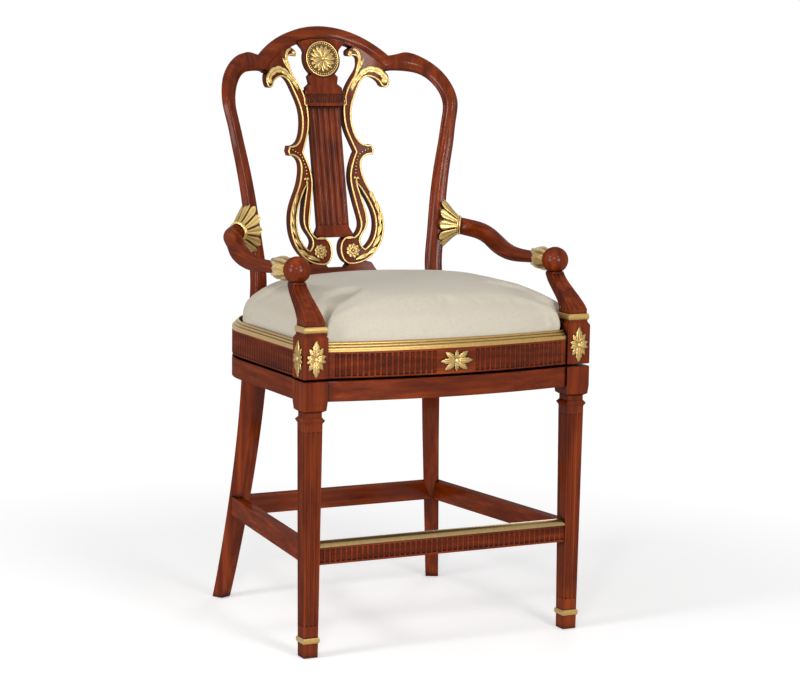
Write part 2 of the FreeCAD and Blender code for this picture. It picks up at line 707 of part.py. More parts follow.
def rear_leg_blank(sign):
    spin = FreeCAD.Rotation(UP, -size.rear_turn)
    inward = spin.multVec(FreeCAD.Vector(0, 1, 0))
    across = spin.multVec(FreeCAD.Vector(1, 0, 0))
    wires = []
    for rise, splay, sweep in REAR_LEG_PATH:
        high = size.glide_proud + rise * (size.frame_high - size.glide_proud)
        side = size.rear_foot_wide + rise * (size.rear_top_wide - size.rear_foot_wide)
        x = size.rear_leg_half + splay * size.rear_splay
        y = size.rear_leg_behind + sweep * size.rear_sweep
        front = vec(x, y, high) - inward * (side / 2)
        wires.append(bar_wire(front, across, inward, side, side, size.frame_round))
    return sided(loft(wires), sign)


def rear_leg_foot():
    return size.rear_leg_half + size.rear_splay, size.rear_leg_behind + size.rear_sweep


def slanted_box(name, start, end, thick, tall, low):
    """Box from one plan point to another, both on the middle of its thickness."""
    run = FreeCAD.Vector(end[0] - start[0], end[1] - start[1], 0)
    turn = FreeCAD.Rotation(FreeCAD.Vector(1, 0, 0), run)
    obj = doc.addObject("Part::Box", name)
    obj.Length = run.Length
    bind(obj, Width=thick, Height=tall)
    corner = turn.multVec(FreeCAD.Vector(0, -value(thick) / 2, 0))
    obj.Placement = FreeCAD.Placement(vec(start[0], start[1], value(low)) + corner, turn)
    return obj


def tenoned(name, start, end, thick, tall, low, blanks, shrink_start=0.0, shrink_end=0.0):
    """Rail between two posts with a tenon through its middle; gives the rail and its mortise cutter."""
    run = FreeCAD.Vector(end[0] - start[0], end[1] - start[1], 0)
    along = FreeCAD.Vector(run).normalize()
    core = slanted_box(f"{name}_core", start, end, thick, tall, low)
    tip = (start[0] + along.x * shrink_start, start[1] + along.y * shrink_start)
    heel = (end[0] - along.x * shrink_end, end[1] - along.y * shrink_end)
    inner = slanted_box(f"{name}_tenon", tip, heel, "tenon_thick", f"({tall}) - 2 * tenon_set", f"{low} + tenon_set")
    clear = size.tenon_clear
    wide_tip = (tip[0] - along.x * clear, tip[1] - along.y * clear)
    wide_heel = (heel[0] + along.x * clear, heel[1] + along.y * clear)
    mortise = slanted_box(f"{name}_mortise", wide_tip, wide_heel, "tenon_thick + 2 * tenon_clear",
                          f"({tall}) - 2 * tenon_set + 2 * tenon_clear", f"{low} + tenon_set - tenon_clear")
    shouldered = cut(f"{name}_shouldered", core, *blanks)
    return fuse(name, [shouldered, inner]), mortise


def leg_frame():
    """Legs, apron, stretchers and footrest."""
    blanks = {}
    mortises = {}
    for side, sign in SIDES:
        blanks[f"front_{side}"] = shaped(f"front_leg_{side}_blank", front_leg_blank(sign))
        blanks[f"rear_{side}"] = shaped(f"rear_leg_{side}_blank", rear_leg_blank(sign))
    for key in blanks:
        mortises[key] = []
    doc.recompute()

    for side, sign in SIDES:
        front, rear = f"front_{side}", f"rear_{side}"
        start = (sign * size.stretcher_front, -size.leg_ahead)
        end = (sign * size.stretcher_rear, size.rear_leg_behind + 0.48 * size.rear_sweep)
        rail, mortise = tenoned(f"stretcher_{side}", start, end, "stretcher_thick", "stretcher_tall", "stretcher_low",
                                (blanks[front], blanks[rear]), size.tenon_thick * 2 / 3)
        keep(f"stretcher_{side}", rail)
        mortises[front].append(mortise)
        mortises[rear].append(mortise)

    rear_x = size.rear_leg_half + 0.49 * size.rear_splay
    rear_y = size.rear_leg_behind + 0.48 * size.rear_sweep
    rail, mortise = tenoned("stretcher_rear", (-rear_x, rear_y), (rear_x, rear_y), "stretcher_thick",
                            "stretcher_tall", "stretcher_low", (blanks["rear_left"], blanks["rear_right"]),
                            size.stretcher_thick / 2, size.stretcher_thick / 2)
    keep("stretcher_rear", rail)
    for side, _ in SIDES:
        mortises[f"rear_{side}"].append(mortise)

    half = size.leg_spread / 2
    middle_y = size.footrest_thick / 2 - size.footrest_ahead - size.leg_ahead
    rail, mortise = tenoned("footrest_blank", (-half, middle_y), (half, middle_y), "footrest_thick", "footrest_tall",
                            "stretcher_low", (blanks["front_left"], blanks["front_right"]))
    face_y = -size.footrest_ahead - size.leg_ahead
    reach = half - shaft_side(size.stretcher_low) / 2 - 0.7 * size.flute_wide
    count = round(reach / size.flute_pitch)
    ahead = FreeCAD.Vector(0, -1, 0)
    feet = [(vec(number * reach / count, face_y, 0), ahead) for number in range(-count, count + 1)]
    low = size.stretcher_low + size.flute_margin
    high = size.stretcher_low + size.footrest_tall - size.flute_margin
    flutes = shaped("footrest_flutes", flute_tool(feet, low, high))
    for side, _ in SIDES:
        mortises[f"front_{side}"].append(mortise)
    pins = cap_pins()
    keep("footrest_rail", cut("footrest_rail", rail, flutes, pins))
    keep("footrest_cap", footrest_cap(blanks, pins))
    keep("footrest_cap_pins", pins)
    aprons(blanks, mortises)
    legs(blanks, mortises)


def cap_pins():
    """Pins that hold the brass cap, set into the rail below it."""
    pins = []
    for number in (-1, 0, 1):
        x = f"{number} * leg_spread / 3"
        y = "footrest_thick / 2 - footrest_ahead - leg_ahead"
        low = "stretcher_low + footrest_tall - cap_pin_long"
        pins.append(drum(f"cap_pin_{number + 2}", "cap_pin_radius", "cap_pin_long + cap_tall / 2", x, y, low))
    return group("cap_pins", pins)


def footrest_cap(blanks, pins):
    """Half-round brass strip on the footrest rail, between the legs."""
    body = doc.addObject("PartDesign::Body", "footrest_cap_strip")
    sketch = sketch_in(body, "footrest_cap_section", "YZ_Plane", "(foot_wide - leg_spread) / 2")
    middle = "footrest_thick / 2 - footrest_ahead - leg_ahead"
    foot = "stretcher_low + footrest_tall"
    near = behind(f"{middle} - cap_wide / 2")
    far = behind(f"{middle} + cap_wide / 2")
    lip = f"{foot} + cap_tall / 4"
    points = ((near, foot), (far, foot), (far, lip), (near, lip))
    outline(sketch, points, {2: (behind(middle), f"{foot} + cap_tall")})
    pad = body.newObject("PartDesign::Pad", "footrest_cap_pad")
    pad.Profile = sketch
    bind(pad, Length="leg_spread - foot_wide")
    return cut("footrest_cap", body, blanks["front_left"], blanks["front_right"], pins)


def apron_tenon(name, centre_x, centre_y, wide, deep):
    """Stub tenon between apron and leg head, with its mortise cutter."""
    tall = "frame_high - apron_low - 2 * tenon_set"
    stub = block(f"{name}_stub", wide, deep, tall, centre_x, centre_y, "apron_low + tenon_set")
    grow = "2 * tenon_clear"
    hole = block(f"{name}_hole", f"{wide} + {grow}", f"{deep} + {grow}", f"{tall} + {grow}", centre_x, centre_y,
                 "apron_low + tenon_set - tenon_clear")
    return stub, hole


def aprons(blanks, mortises):
    tall = "frame_high - apron_low"
    front = front_rail("apron_front_board", "apron_thick", "apron_low", tall)
    round_edges(front, at_height(size.frame_high))
    pieces = [front]
    for side, sign in SIDES:
        x = f"{sign} * {BLOCK_X}"
        stub, hole = apron_tenon(f"apron_front_{side}", x, f"{FACE_Y} + apron_thick / 2", "2 * tenon_deep",
                                 "tenon_thick")
        pieces.append(stub)
        mortises[f"front_{side}"].append(hole)
    keep("apron_front", fuse("apron_front", pieces))
    for side, sign in SIDES:
        board = side_rail(f"apron_{side}_board", sign, "apron_thick", "apron_low", tall, "rear_leg_half")
        round_edges(board, at_height(size.frame_high))
        fitted = cut(f"apron_{side}_fitted", board, blanks[f"rear_{side}"])
        x = f"{sign} * ({SIDE_X} - apron_thick / 2)"
        stub, hole = apron_tenon(f"apron_side_{side}", x, BLOCK_BACK, "tenon_thick", "2 * tenon_deep")
        mortises[f"front_{side}"].append(hole)
        keep(f"apron_{side}", fuse(f"apron_{side}", [fitted, stub]))
    points, arcs = rear_points("apron_thick", "rear_leg_half")
    board = padded_outline("apron_rear_board", points, arcs, "apron_low", tall)
    round_edges(board, at_height(size.frame_high))
    keep("apron_rear", cut("apron_rear", board, blanks["rear_left"], blanks["rear_right"]))


def legs(blanks, mortises):
    """Legs with their mortises, the foot collars and the glides."""
    glides = []
    foot_x, foot_y = rear_leg_foot()
    feet = {"front": (size.leg_spread / 2, -size.leg_ahead), "rear": (foot_x, foot_y)}
    for side, sign in SIDES:
        for end, (x, y) in feet.items():
            recess = drum(f"glide_recess_{end}_{side}", "glide_radius + tenon_clear", "glide_proud + glide_deep",
                          sign * x, y, "0")
            glides.append(drum(f"glide_{end}_{side}", "glide_radius", "glide_proud + glide_deep", sign * x, y, "0"))
            leg = f"{end}_{side}"
            keep(f"{end}_leg_{side}", cut(f"{end}_leg_{side}", blanks[leg], recess, *mortises[leg]))
        low = size.foot_collar_low
        side_wide = shaft_side(low) + 2 * size.collar_lip
        ease = size.foot_collar_tall / 4
        levels = [(low, side_wide - size.collar_lip), (low + ease, side_wide),
                  (low + size.foot_collar_tall - ease, side_wide),
                  (low + size.foot_collar_tall, side_wide - size.collar_lip)]
        ring = square_stack(levels, sign * size.leg_spread / 2, -size.leg_ahead - size.axis_ahead)
        keep(f"foot_collar_{side}", cut(f"foot_collar_{side}", shaped(f"foot_collar_{side}_band", ring),
                                        blanks[f"front_{side}"]))
    keep("foot_glides", group("foot_glides", glides))


def plate(name, low, hole):
    """Square swivel plate with a round hole and four screw holes."""
    sheet_metal = block(f"{name}_sheet", "plate_side", "plate_side", "plate_thick", "0", "0", low)
    holes = [drum(f"{name}_eye", hole, "plate_thick", "0", "0", low)]
    for number, (x, y) in enumerate(screw_places()):
        holes.append(drum(f"{name}_screw_hole_{number}", "screw_radius + tenon_clear", "plate_thick", x, y, low))
    return cut(f"{name}_drilled", sheet_metal, *holes)


def screw_places():
    return [(f"{sx} * screw_out", f"{sy} * bearer_behind") for sx in (-1, 1) for sy in (-1, 1)]


def race(name, low, height, groove_high):
    """Ring with a round groove for the balls."""
    outer = drum(f"{name}_outer", "race_radius + race_wide / 2", height, "0", "0", low)
    inner = drum(f"{name}_inner", "race_radius - race_wide / 2", height, "0", "0", low)
    groove = doc.addObject("Part::Torus", f"{name}_groove")
    bind(groove, Radius1="race_radius", Radius2="ball_radius + ball_clear")
    bind(groove, Placement__Base__y=behind("0"), Placement__Base__z=groove_high)
    return cut(f"{name}_ring", outer, inner, groove)


LOWER_PLATE = "(frame_high + swivel_gap / 2 - plate_apart / 2 - plate_thick)"
UPPER_PLATE = "(frame_high + swivel_gap / 2 + plate_apart / 2)"
BALL_HIGH = "(frame_high + swivel_gap / 2)"


def screws(name, head_low, shank_low):
    """Four plate screws as one group."""
    pieces = []
    for number, (x, y) in enumerate(screw_places()):
        head = drum(f"{name}_head_{number}", "screw_head", "screw_head_tall", x, y, head_low)
        shank = drum(f"{name}_shank_{number}", "screw_radius", "screw_long + plate_thick", x, y, shank_low)
        pieces.append(fuse(f"{name}_{number}", [head, shank]))
    return group(name, pieces)


def boards(frame):
    """Side rails of a frame, before their joints."""
    return [doc.getObject(f"{frame}_{side}_board") for side, _ in SIDES]


def swivel():
    """Bearers, plates, races, balls and rivet of the swivel."""
    under = f"{LOWER_PLATE} - bearer_thick"
    lower_screws = screws("lower_plate_screws", f"{LOWER_PLATE} + plate_thick", f"{LOWER_PLATE} - screw_long")
    upper_screws = screws("upper_plate_screws", f"{UPPER_PLATE} - screw_head_tall", UPPER_PLATE)
    deck_low = f"({RAIL_TOP} - deck_thick)"
    over = f"{UPPER_PLATE} + plate_thick"
    for place, sign in (("front", -1), ("rear", 1)):
        y = f"{sign} * bearer_behind"
        wide = f"2 * ({SIDE_X} - apron_thick)"
        bar = block(f"base_bearer_{place}_bar", wide, "bearer_wide", "bearer_thick", "0", y, under)
        keep(f"base_bearer_{place}", cut(f"base_bearer_{place}", bar, lower_screws, *boards("apron")))
        wide = f"2 * ({SIDE_X} - rail_thick)"
        bar = block(f"seat_bearer_{place}_bar", wide, "bearer_wide", f"{deck_low} - ({over})", "0", y, over)
        keep(f"seat_bearer_{place}", cut(f"seat_bearer_{place}", bar, upper_screws, *boards("seat_rail")))
    keep("lower_plate_screws", lower_screws)
    keep("upper_plate_screws", upper_screws)

    ring_tall = "(plate_apart - race_apart) / 2"
    lower = plate("swivel_lower_plate", LOWER_PLATE, "rivet_radius + rivet_clear")
    lower_race = race("lower_race", f"{LOWER_PLATE} + plate_thick", ring_tall, BALL_HIGH)
    keep("swivel_lower_plate", fuse("swivel_lower_plate", [lower, lower_race]))
    upper = plate("swivel_upper_plate", UPPER_PLATE, "rivet_radius")
    upper_race = race("upper_race", f"{UPPER_PLATE} - {ring_tall}", ring_tall, BALL_HIGH)
    keep("swivel_upper_plate", fuse("swivel_upper_plate", [upper, upper_race]))

    balls = []
    count = int(size.ball_count)
    for number in range(count):
        angle = 2 * math.pi * number / count
        ball = doc.addObject("Part::Sphere", f"swivel_ball_{number}")
        bind(ball, Radius="ball_radius", Placement__Base__z=f"{BALL_HIGH} - ball_clear / 2")
        bind(ball, Placement__Base__x=f"race_radius * {math.cos(angle):.9f}")
        bind(ball, Placement__Base__y=behind(f"race_radius * {math.sin(angle):.9f}"))
        balls.append(ball)
    keep("swivel_balls", group("swivel_balls", balls))

    lip_low = f"{LOWER_PLATE} - rivet_clear - plate_thick"
    tube = drum("rivet_tube", "rivet_radius", f"{UPPER_PLATE} + plate_thick - ({lip_low})", "0", "0", lip_low)
    lip = drum("rivet_flange", "rivet_radius + rivet_lip", "plate_thick", "0", "0", lip_low)
    bore = drum("rivet_hollow", "rivet_bore", f"{UPPER_PLATE} + plate_thick - ({lip_low})", "0", "0", lip_low)
    keep("swivel_rivet", cut("swivel_rivet", fuse("rivet_solid", [tube, lip]), bore))


def arm_post_blank(sign):
    """Block, neck and fluted support of one arm post."""
    x = size.leg_spread / 2
    front = -size.leg_ahead
    low = value(SEAT_LOW)
    neck = size.post_neck_low + size.post_neck_rise
    stack = square_stack([
        (low, size.leg_block - 2 * size.block_ease), (low + size.block_ease, size.leg_block),
        (size.post_neck_low, size.leg_block), (neck, size.post_neck_wide),
        (size.post_collar_low + size.post_collar_tall / 2, size.post_neck_wide),
        (size.post_collar_low + size.post_collar_tall, size.support_wide), (size.support_low, size.support_wide),
    ], x, front - size.axis_ahead)
    top = size.knob_high - size.knob_radius
    wires = []
    for step in range(6):
        share = step / 5
        eased = 0.5 * share + 0.5 * (3 * share ** 2 - 2 * share ** 3)
        centre = vec(x + (size.knob_half - x) * eased, front + (size.leg_ahead - size.knob_ahead) * eased,
                     size.support_low + (top - size.support_low) * share)
        wires.append(fluted_wire(centre, size.support_wide + (size.support_top_wide - size.support_wide) * share))
    peg = square_stack([(top, size.support_top_wide), (top + size.knob_seat, size.support_top_wide - 2)],
                       size.knob_half, -size.knob_ahead - size.axis_ahead)
    return sided(stack.fuse([loft(wires), peg]), sign)


def post_section(share, splay):
    """Outer and inner edge of a back post, as x and height."""
    high = size.post_foot + share * (size.shoulder_low - size.post_foot)
    middle = size.post_half + splay * size.post_splay
    half = (size.post_wide + share * (size.post_top_wide - size.post_wide)) / 2
    return (middle + half, high), (middle - half, high)


def back_post_blank(sign):
    """Back post with its rounded shoulder, up to the end of the crest arch."""
    wires = []
    for share, splay in POST_PATH:
        outer, inner = post_section(share, splay)
        depth = size.post_deep + share * (size.post_top_deep - size.post_deep)
        wires.append(back_bar(outer, inner, depth))
    depths = [size.post_top_deep + (size.arch_deep - size.post_top_deep) * step / 6 for step in range(1, 7)]
    for depth, (out_u, out_v, in_u, in_v) in zip(depths, reversed(SHOULDER_PATH)):
        outer = (size.arch_half + out_u * size.shoulder_reach, size.shoulder_low + out_v * size.shoulder_tall)
        inner = (size.arch_half + in_u * size.shoulder_reach, size.shoulder_low + in_v * size.shoulder_tall)
        wires.append(back_bar(outer, inner, depth))
    wires.append(arch_section(1))
    return sided(loft(wires), sign)


def arch_section(share):
    """Section of the crest arch at a share of its half width."""
    drop = arc_drop(share, size.arch_half, size.arch_rise)
    half = size.arch_half - size.arch_inset
    rise = size.arch_rise + size.arch_end_tall - size.arch_tall
    inner_drop = arc_drop(share, half, rise)
    outer = (size.arch_half * share, size.back_high - drop)
    inner = (half * share, size.back_high - size.arch_tall - inner_drop)
    return back_bar(outer, inner, size.arch_deep)


def arc_drop(share, half, rise):
    """Drop of a circular arch from its top."""
    radius = (half ** 2 + rise ** 2) / (2 * rise)
    return radius - math.sqrt(radius ** 2 - (half * share) ** 2)


def crest_blank():
    steps = 8
    return loft([arch_section(step / steps * 2 - 1) for step in range(steps + 1)])


def arm_path():
    """Centre points and radii of one arm."""
    post_share = (size.arm_high - size.post_foot) / (size.shoulder_low - size.post_foot)
    splay = post_splay(post_share)
    root = back_point(size.post_half + splay * size.post_splay, size.arm_high)
    root += back_inward(root.x, size.arm_high) * (size.post_deep / 2)
    knob = vec(size.knob_half, -size.knob_ahead, size.knob_high)
    stops = []
    for run, bulge, dip, thick in ARM_PATH:
        point = root + (knob - root) * run
        point += FreeCAD.Vector(bulge * size.arm_bulge, 0, -dip * size.arm_dip)
        stops.append((point, thick * size.arm_thick / 2))
    return stops


def post_splay(share):
    """Share of the splay at a share of the post's height."""
    for (low, low_splay), (high, high_splay) in zip(POST_PATH, POST_PATH[1:]):
        if low <= share <= high:
            return low_splay + (high_splay - low_splay) * (share - low) / (high - low)
    return 1.0


def arm_blank(sign):
    stops = arm_path()
    wires = []
    for index, (point, radius) in enumerate(stops):
        before = stops[max(index - 1, 0)][0]
        after = stops[min(index + 1, len(stops) - 1)][0]
        wires.append(circle_wire(point, (after - before).normalize(), radius))
    return sided(loft(wires), sign)


def palmette_blank(sign):
    """Flared fan between back post and arm."""
    stops = arm_path()
    root, collar = stops[0][0], stops[1][0]
    along = (collar - root).normalize()
    level = FreeCAD.Vector(-along.y, along.x, 0).normalize()
    upright = along.cross(level)
    if upright.z < 0:
        upright = upright * -1
    wires = []
    half_post = size.post_wide / 4
    for share, tall, wide in ((0, 1, 1), (0.4, 0.72, 0.86), (1, 0, 0)):
        centre = root + along * (half_post + (size.palmette_long - half_post) * share)
        neck = stops[1][1] + size.collar_lip
        major = neck + (size.palmette_tall / 2 - neck) * tall
        minor = neck + (size.palmette_wide / 2 - neck) * wide
        corners = [centre + upright * major, centre + level * minor, centre - upright * major]
        far = centre - level * minor
        wires.append(Part.Wire([Part.Arc(corners[0], corners[1], corners[2]).toShape(),
                                Part.Arc(corners[2], far, corners[0]).toShape()]))
    return sided(loft(wires), sign)


def cup_blank(sign):
    """Round cup that widens from the arm towards the knob."""
    stops = arm_path()
    knob = vec(size.knob_half, -size.knob_ahead, size.knob_high)
    back = stops[-2][0] - knob
    along = back.normalize()
    wires = []
    neck = stops[-2][1]
    for share, wide in ((0.18, 0.8), (0.42, 1.0), (0.75, 0.55), (1.0, 0.0)):
        radius = neck + size.collar_lip / 2 + (size.cup_wide / 2 - neck - size.collar_lip / 2) * wide
        wires.append(circle_wire(knob + along * (size.knob_radius * 0.55 + size.cup_long * share), along, radius))
    return sided(loft(wires), sign)


def arms():
    """Arm posts, knobs, arms with cups and palmettes, back posts."""
    blanks = {}
    for side, sign in SIDES:
        knob = doc.addObject("Part::Sphere", f"knob_{side}")
        bind(knob, Radius="knob_radius", Placement__Base__x=f"{sign} * knob_half")
        bind(knob, Placement__Base__y=behind("-knob_ahead"), Placement__Base__z="knob_high")
        post = shaped(f"arm_post_{side}_blank", arm_post_blank(sign))
        back = shaped(f"back_post_{side}_blank", back_post_blank(sign))
        arm = shaped(f"arm_{side}_blank", arm_blank(sign))
        fan = shaped(f"arm_palmette_{side}_blank", palmette_blank(sign))
        cup = shaped(f"arm_cup_{side}_blank", cup_blank(sign))
        keep(f"arm_knob_{side}", cut(f"arm_knob_{side}", knob, post))
        keep(f"arm_{side}", cut(f"arm_{side}", arm, back, knob))
        keep(f"arm_cup_{side}", cut(f"arm_cup_{side}", cup, arm, knob))
        keep(f"arm_palmette_{side}", cut(f"arm_palmette_{side}", fan, arm, back))
        keep(f"back_post_{side}", back)
        low = size.post_collar_low
        wide = size.post_neck_wide + 2 * size.collar_lip
        curve = ((0, 1.4), (0.12, 0.6), (0.32, 0.1), (0.5, 0), (0.68, 0.1), (0.88, 0.6), (1, 1.4))
        levels = [(low + up * size.post_collar_tall, wide - inset * size.collar_lip) for up, inset in curve]
        ring = square_stack(levels, sign * size.leg_spread / 2, -size.leg_ahead - size.axis_ahead)
        keep(f"post_collar_{side}", cut(f"post_collar_{side}", shaped(f"post_collar_{side}_band", ring), post))
        blanks[f"post_{side}"] = post
        blanks[f"back_{side}"] = back
    return blanks


def seat_tenon(name, centre_x, centre_y, wide, deep):
    tall = "frieze_tall - 2 * tenon_set"
    low = f"{SEAT_LOW} + tenon_set"
    stub = block(f"{name}_stub", wide, deep, tall, centre_x, centre_y, low)
    grow = "2 * tenon_clear"
    hole = block(f"{name}_hole", f"{wide} + {grow}", f"{deep} + {grow}", f"{tall} + {grow}", centre_x, centre_y,
                 f"{low} - tenon_clear")
    return stub, hole


def seat_frame(blanks):
    """Seat rails with their flutes, and the arm posts that they are tenoned into."""
    seat_low = value(SEAT_LOW)
    flute_ends = (seat_low + size.flute_margin, value(RAIL_TOP) - size.flute_margin)
    holes = {"left": [], "right": []}
    board = front_rail("seat_rail_front_board", "rail_thick", SEAT_LOW, "frieze_tall")
    round_edges(board, at_height(seat_low))
    flutes = shaped("seat_rail_front_flutes", flute_tool(front_flutes(), *flute_ends))
    pieces = [cut("seat_rail_front_fluted", board, flutes)]
    for side, sign in SIDES:
        stub, hole = seat_tenon(f"seat_front_{side}", f"{sign} * {BLOCK_X}", f"{FACE_Y} + rail_thick / 2",
                                "2 * tenon_deep", "tenon_thick")
        pieces.append(stub)
        holes[side].append(hole)
    keep("seat_rail_front", fuse("seat_rail_front", pieces))
    for side, sign in SIDES:
        board = side_rail(f"seat_rail_{side}_board", sign, "rail_thick", SEAT_LOW, "frieze_tall", "rear_joint")
        round_edges(board, at_height(seat_low))
        flutes = shaped(f"seat_rail_{side}_flutes", flute_tool(side_flutes(sign), *flute_ends))
        fluted = cut(f"seat_rail_{side}_fluted", board, flutes, blanks[f"back_{side}"])
        stub, hole = seat_tenon(f"seat_side_{side}", f"{sign} * ({SIDE_X} - rail_thick / 2)", BLOCK_BACK,
                                "tenon_thick", "2 * tenon_deep")
        holes[side].append(hole)
        keep(f"seat_rail_{side}", fuse(f"seat_rail_{side}", [fluted, stub]))
        keep(f"arm_post_{side}", cut(f"arm_post_{side}", blanks[f"post_{side}"], *holes[side]))
    points, arcs = rear_points("rail_thick", "rear_joint")
    board = padded_outline("seat_rail_rear_board", points, arcs, SEAT_LOW, "frieze_tall")
    round_edges(board, at_height(seat_low))
    keep("seat_rail_rear", board)


def moulding_wire(start, inward):
    """Section of the reeded moulding: a flat foot and back, and round reeds down its slope."""
    foot = start + inward * 0
    heel = start + inward * size.moulding_wide
    crown = heel + UP * size.moulding_tall
    toe = start + UP * (size.moulding_tall / 5)
    slope = toe - crown
    outward = FreeCAD.Vector(slope).cross(inward.cross(UP)).normalize()
    if outward.dot(inward) > 0:
        outward = outward * -1
    edges = [Part.LineSegment(foot, heel).toShape(), Part.LineSegment(heel, crown).toShape()]
    count = int(size.reed_count)
    for number in range(count):
        first = crown + slope * (number / count)
        last = crown + slope * ((number + 1) / count)
        swell = (first + last) * 0.5 + outward * (slope.Length / count * 0.3)
        edges.append(Part.Arc(first, swell, last).toShape())
    edges.append(Part.LineSegment(toe, foot).toShape())
    return Part.Wire(edges)


def moulding():
    top = value(RAIL_TOP)
    half = value(BLOCK_X)
    radius = bow_radius()
    face = value(FACE_Y)
    ends = [vec(sign * half, face, top) for sign in (-1, 1)]
    path = Part.Wire([Part.Arc(ends[0], vec(0, face - size.front_bow, top), ends[1]).toShape()])
    centre = vec(0, face - size.front_bow + radius, top)
    section = moulding_wire(ends[0], (centre - ends[0]).normalize())
    keep("seat_moulding_front", shaped("seat_moulding_front", swept(path, section)))
    for side, sign in SIDES:
        start = vec(value(SIDE_X), value(BLOCK_BACK), top)
        bend = vec(value(SIDE_X), size.corner_behind, top)
        middle = vec(value(CORNER_X), size.corner_behind, top)
        last_angle = math.acos((size.rear_joint - value(CORNER_X)) / size.corner_radius)
        round_point = lambda angle: middle + FreeCAD.Vector(math.cos(angle), math.sin(angle), 0) * size.corner_radius
        arc = Part.Arc(bend, round_point(last_angle / 2), round_point(last_angle))
        path = Part.Wire([Part.LineSegment(start, bend).toShape(), arc.toShape()])
        section = moulding_wire(start, FreeCAD.Vector(-1, 0, 0))
        keep(f"seat_moulding_{side}", shaped(f"seat_moulding_{side}", sided(swept(path, section), sign)))


def swept(path, section):
    solid = path.makePipeShell([section], True, False).Solids[0]
    return solid if solid.Volume > 0 else solid.reversed()


def deck(blanks):
    """Seat deck inside the rails, notched round the back posts."""
    thick = "(rail_thick + deck_clear)"
    side = f"{SIDE_X} - {thick}"
    front = behind(f"{FACE_Y} + {thick}")
    step_x = f"{BLOCK_X} - deck_clear"
    step_y = behind(f"{BLOCK_BACK} + deck_clear")
    corner = corner_point("rear_joint", thick)
    bend = (side, behind("corner_behind"))
    points = [
        (f"-({step_x})", front), (step_x, front), (step_x, step_y), (side, step_y), bend, corner, flip(corner, -1),
        flip(bend, -1), (f"-({side})", step_y), (f"-({step_x})", step_y),
    ]
    turn = corner_bend("rear_joint", thick)
    arcs = {4: turn, 5: ("0", behind(f"rear_reach - {thick}")), 6: flip(turn, -1)}
    board = padded_outline("seat_deck_board", points, arcs, f"{RAIL_TOP} - deck_thick", "deck_thick")
    keep("seat_deck", cut("seat_deck", board, blanks["back_left"], blanks["back_right"]))


def lyre_point(u, v):
    low = size.rosette_high - size.lyre_foot
    arch_end = size.back_high - size.arch_rise
    high = low + v / 100 * (arch_end + size.arch_tall / 3 - low)
    return FreeCAD.Vector(u / 100 * size.lyre_half, -size.back_high, high)


def lyre_edges(lists):
    """Smooth edges through point lists, joined by straight lines where they do not meet."""
    edges = []
    first = lyre_point(*lists[0][0])
    last = None
    for points in lists:
        places = [lyre_point(*pair) for pair in points]
        if last is not None and places[0].distanceToPoint(last) > 1e-6:
            edges.append(Part.LineSegment(last, places[0]).toShape())
        edges.append(spline_edge(places))
        last = places[-1]
    if last.distanceToPoint(first) > 1e-6:
        edges.append(Part.LineSegment(last, first).toShape())
    return edges


def splat(blanks):
    """Crest, lyre halves, centre column, medallion, rosettes and shoe."""
    crest = shaped("crest_rail", crest_blank())
    keep("crest_rail", crest)
    lyre_slab = back_slab(0, size.splat_deep, size.lyre_half * 1.2, size.rosette_high - 2 * size.lyre_foot,
                          size.back_high)
    shoe_low = value(RAIL_TOP)
    shoe_slab = back_slab(1.5, size.splat_deep + 4, size.lyre_half, shoe_low, size.rosette_high)
    shoe_top = size.shoe_high
    shoe_shape = elevation_polygon([
        (-size.shoe_half, shoe_low), (size.shoe_half, shoe_low), (size.shoe_half, shoe_top - 9),
        (size.shoe_half - 12, shoe_top + 11), (size.rosette_half - 8, shoe_top + 11), (size.rosette_half - 17, shoe_top),
        (17 - size.rosette_half, shoe_top), (8 - size.rosette_half, shoe_top + 11), (12 - size.shoe_half, shoe_top + 11),
        (-size.shoe_half, shoe_top - 9)]).common(shoe_slab)
    shoe = shaped("splat_shoe_blank", shoe_shape)
    column = shaped("splat_column_blank", column_blank())
    halves = []
    for side, sign in SIDES:
        outer = elevation(lyre_edges(LYRE))
        slot = elevation(lyre_edges([LYRE_SLOT_OUTER, LYRE_SLOT_INNER]))
        half = shaped(f"lyre_{side}_blank", sided(outer.cut(slot).common(lyre_slab), sign))
        halves.append(half)
        keep(f"lyre_{side}", cut(f"lyre_{side}", half, crest, column))
    keep("splat_shoe", cut("splat_shoe", shoe, *halves))
    keep("splat_column", cut("splat_column", column, crest))
    facing = back_inward(0, size.medallion_high) * -1
    front = back_point(0, size.medallion_high) - FreeCAD.Vector(0, size.capital_ahead, 0)
    disc = Part.makeCylinder(size.medallion_radius, size.medallion_deep, front, facing)
    keep("medallion", cut("medallion", shaped("medallion_disc", disc), crest, column))
    rosettes = []
    for side, sign in SIDES:
        x = sign * size.rosette_half
        bud = flower(2 * size.rosette_radius, 2 * size.rosette_radius, 8, size.ornament_deep)
        facing = back_inward(x, size.rosette_high) * -1
        rosettes.append(shaped(f"lyre_rosette_{side}", set_facing(bud, back_point(x, size.rosette_high), facing)))
    keep("lyre_rosettes", cut("lyre_rosettes", group("lyre_rosette_pair", rosettes), *halves))


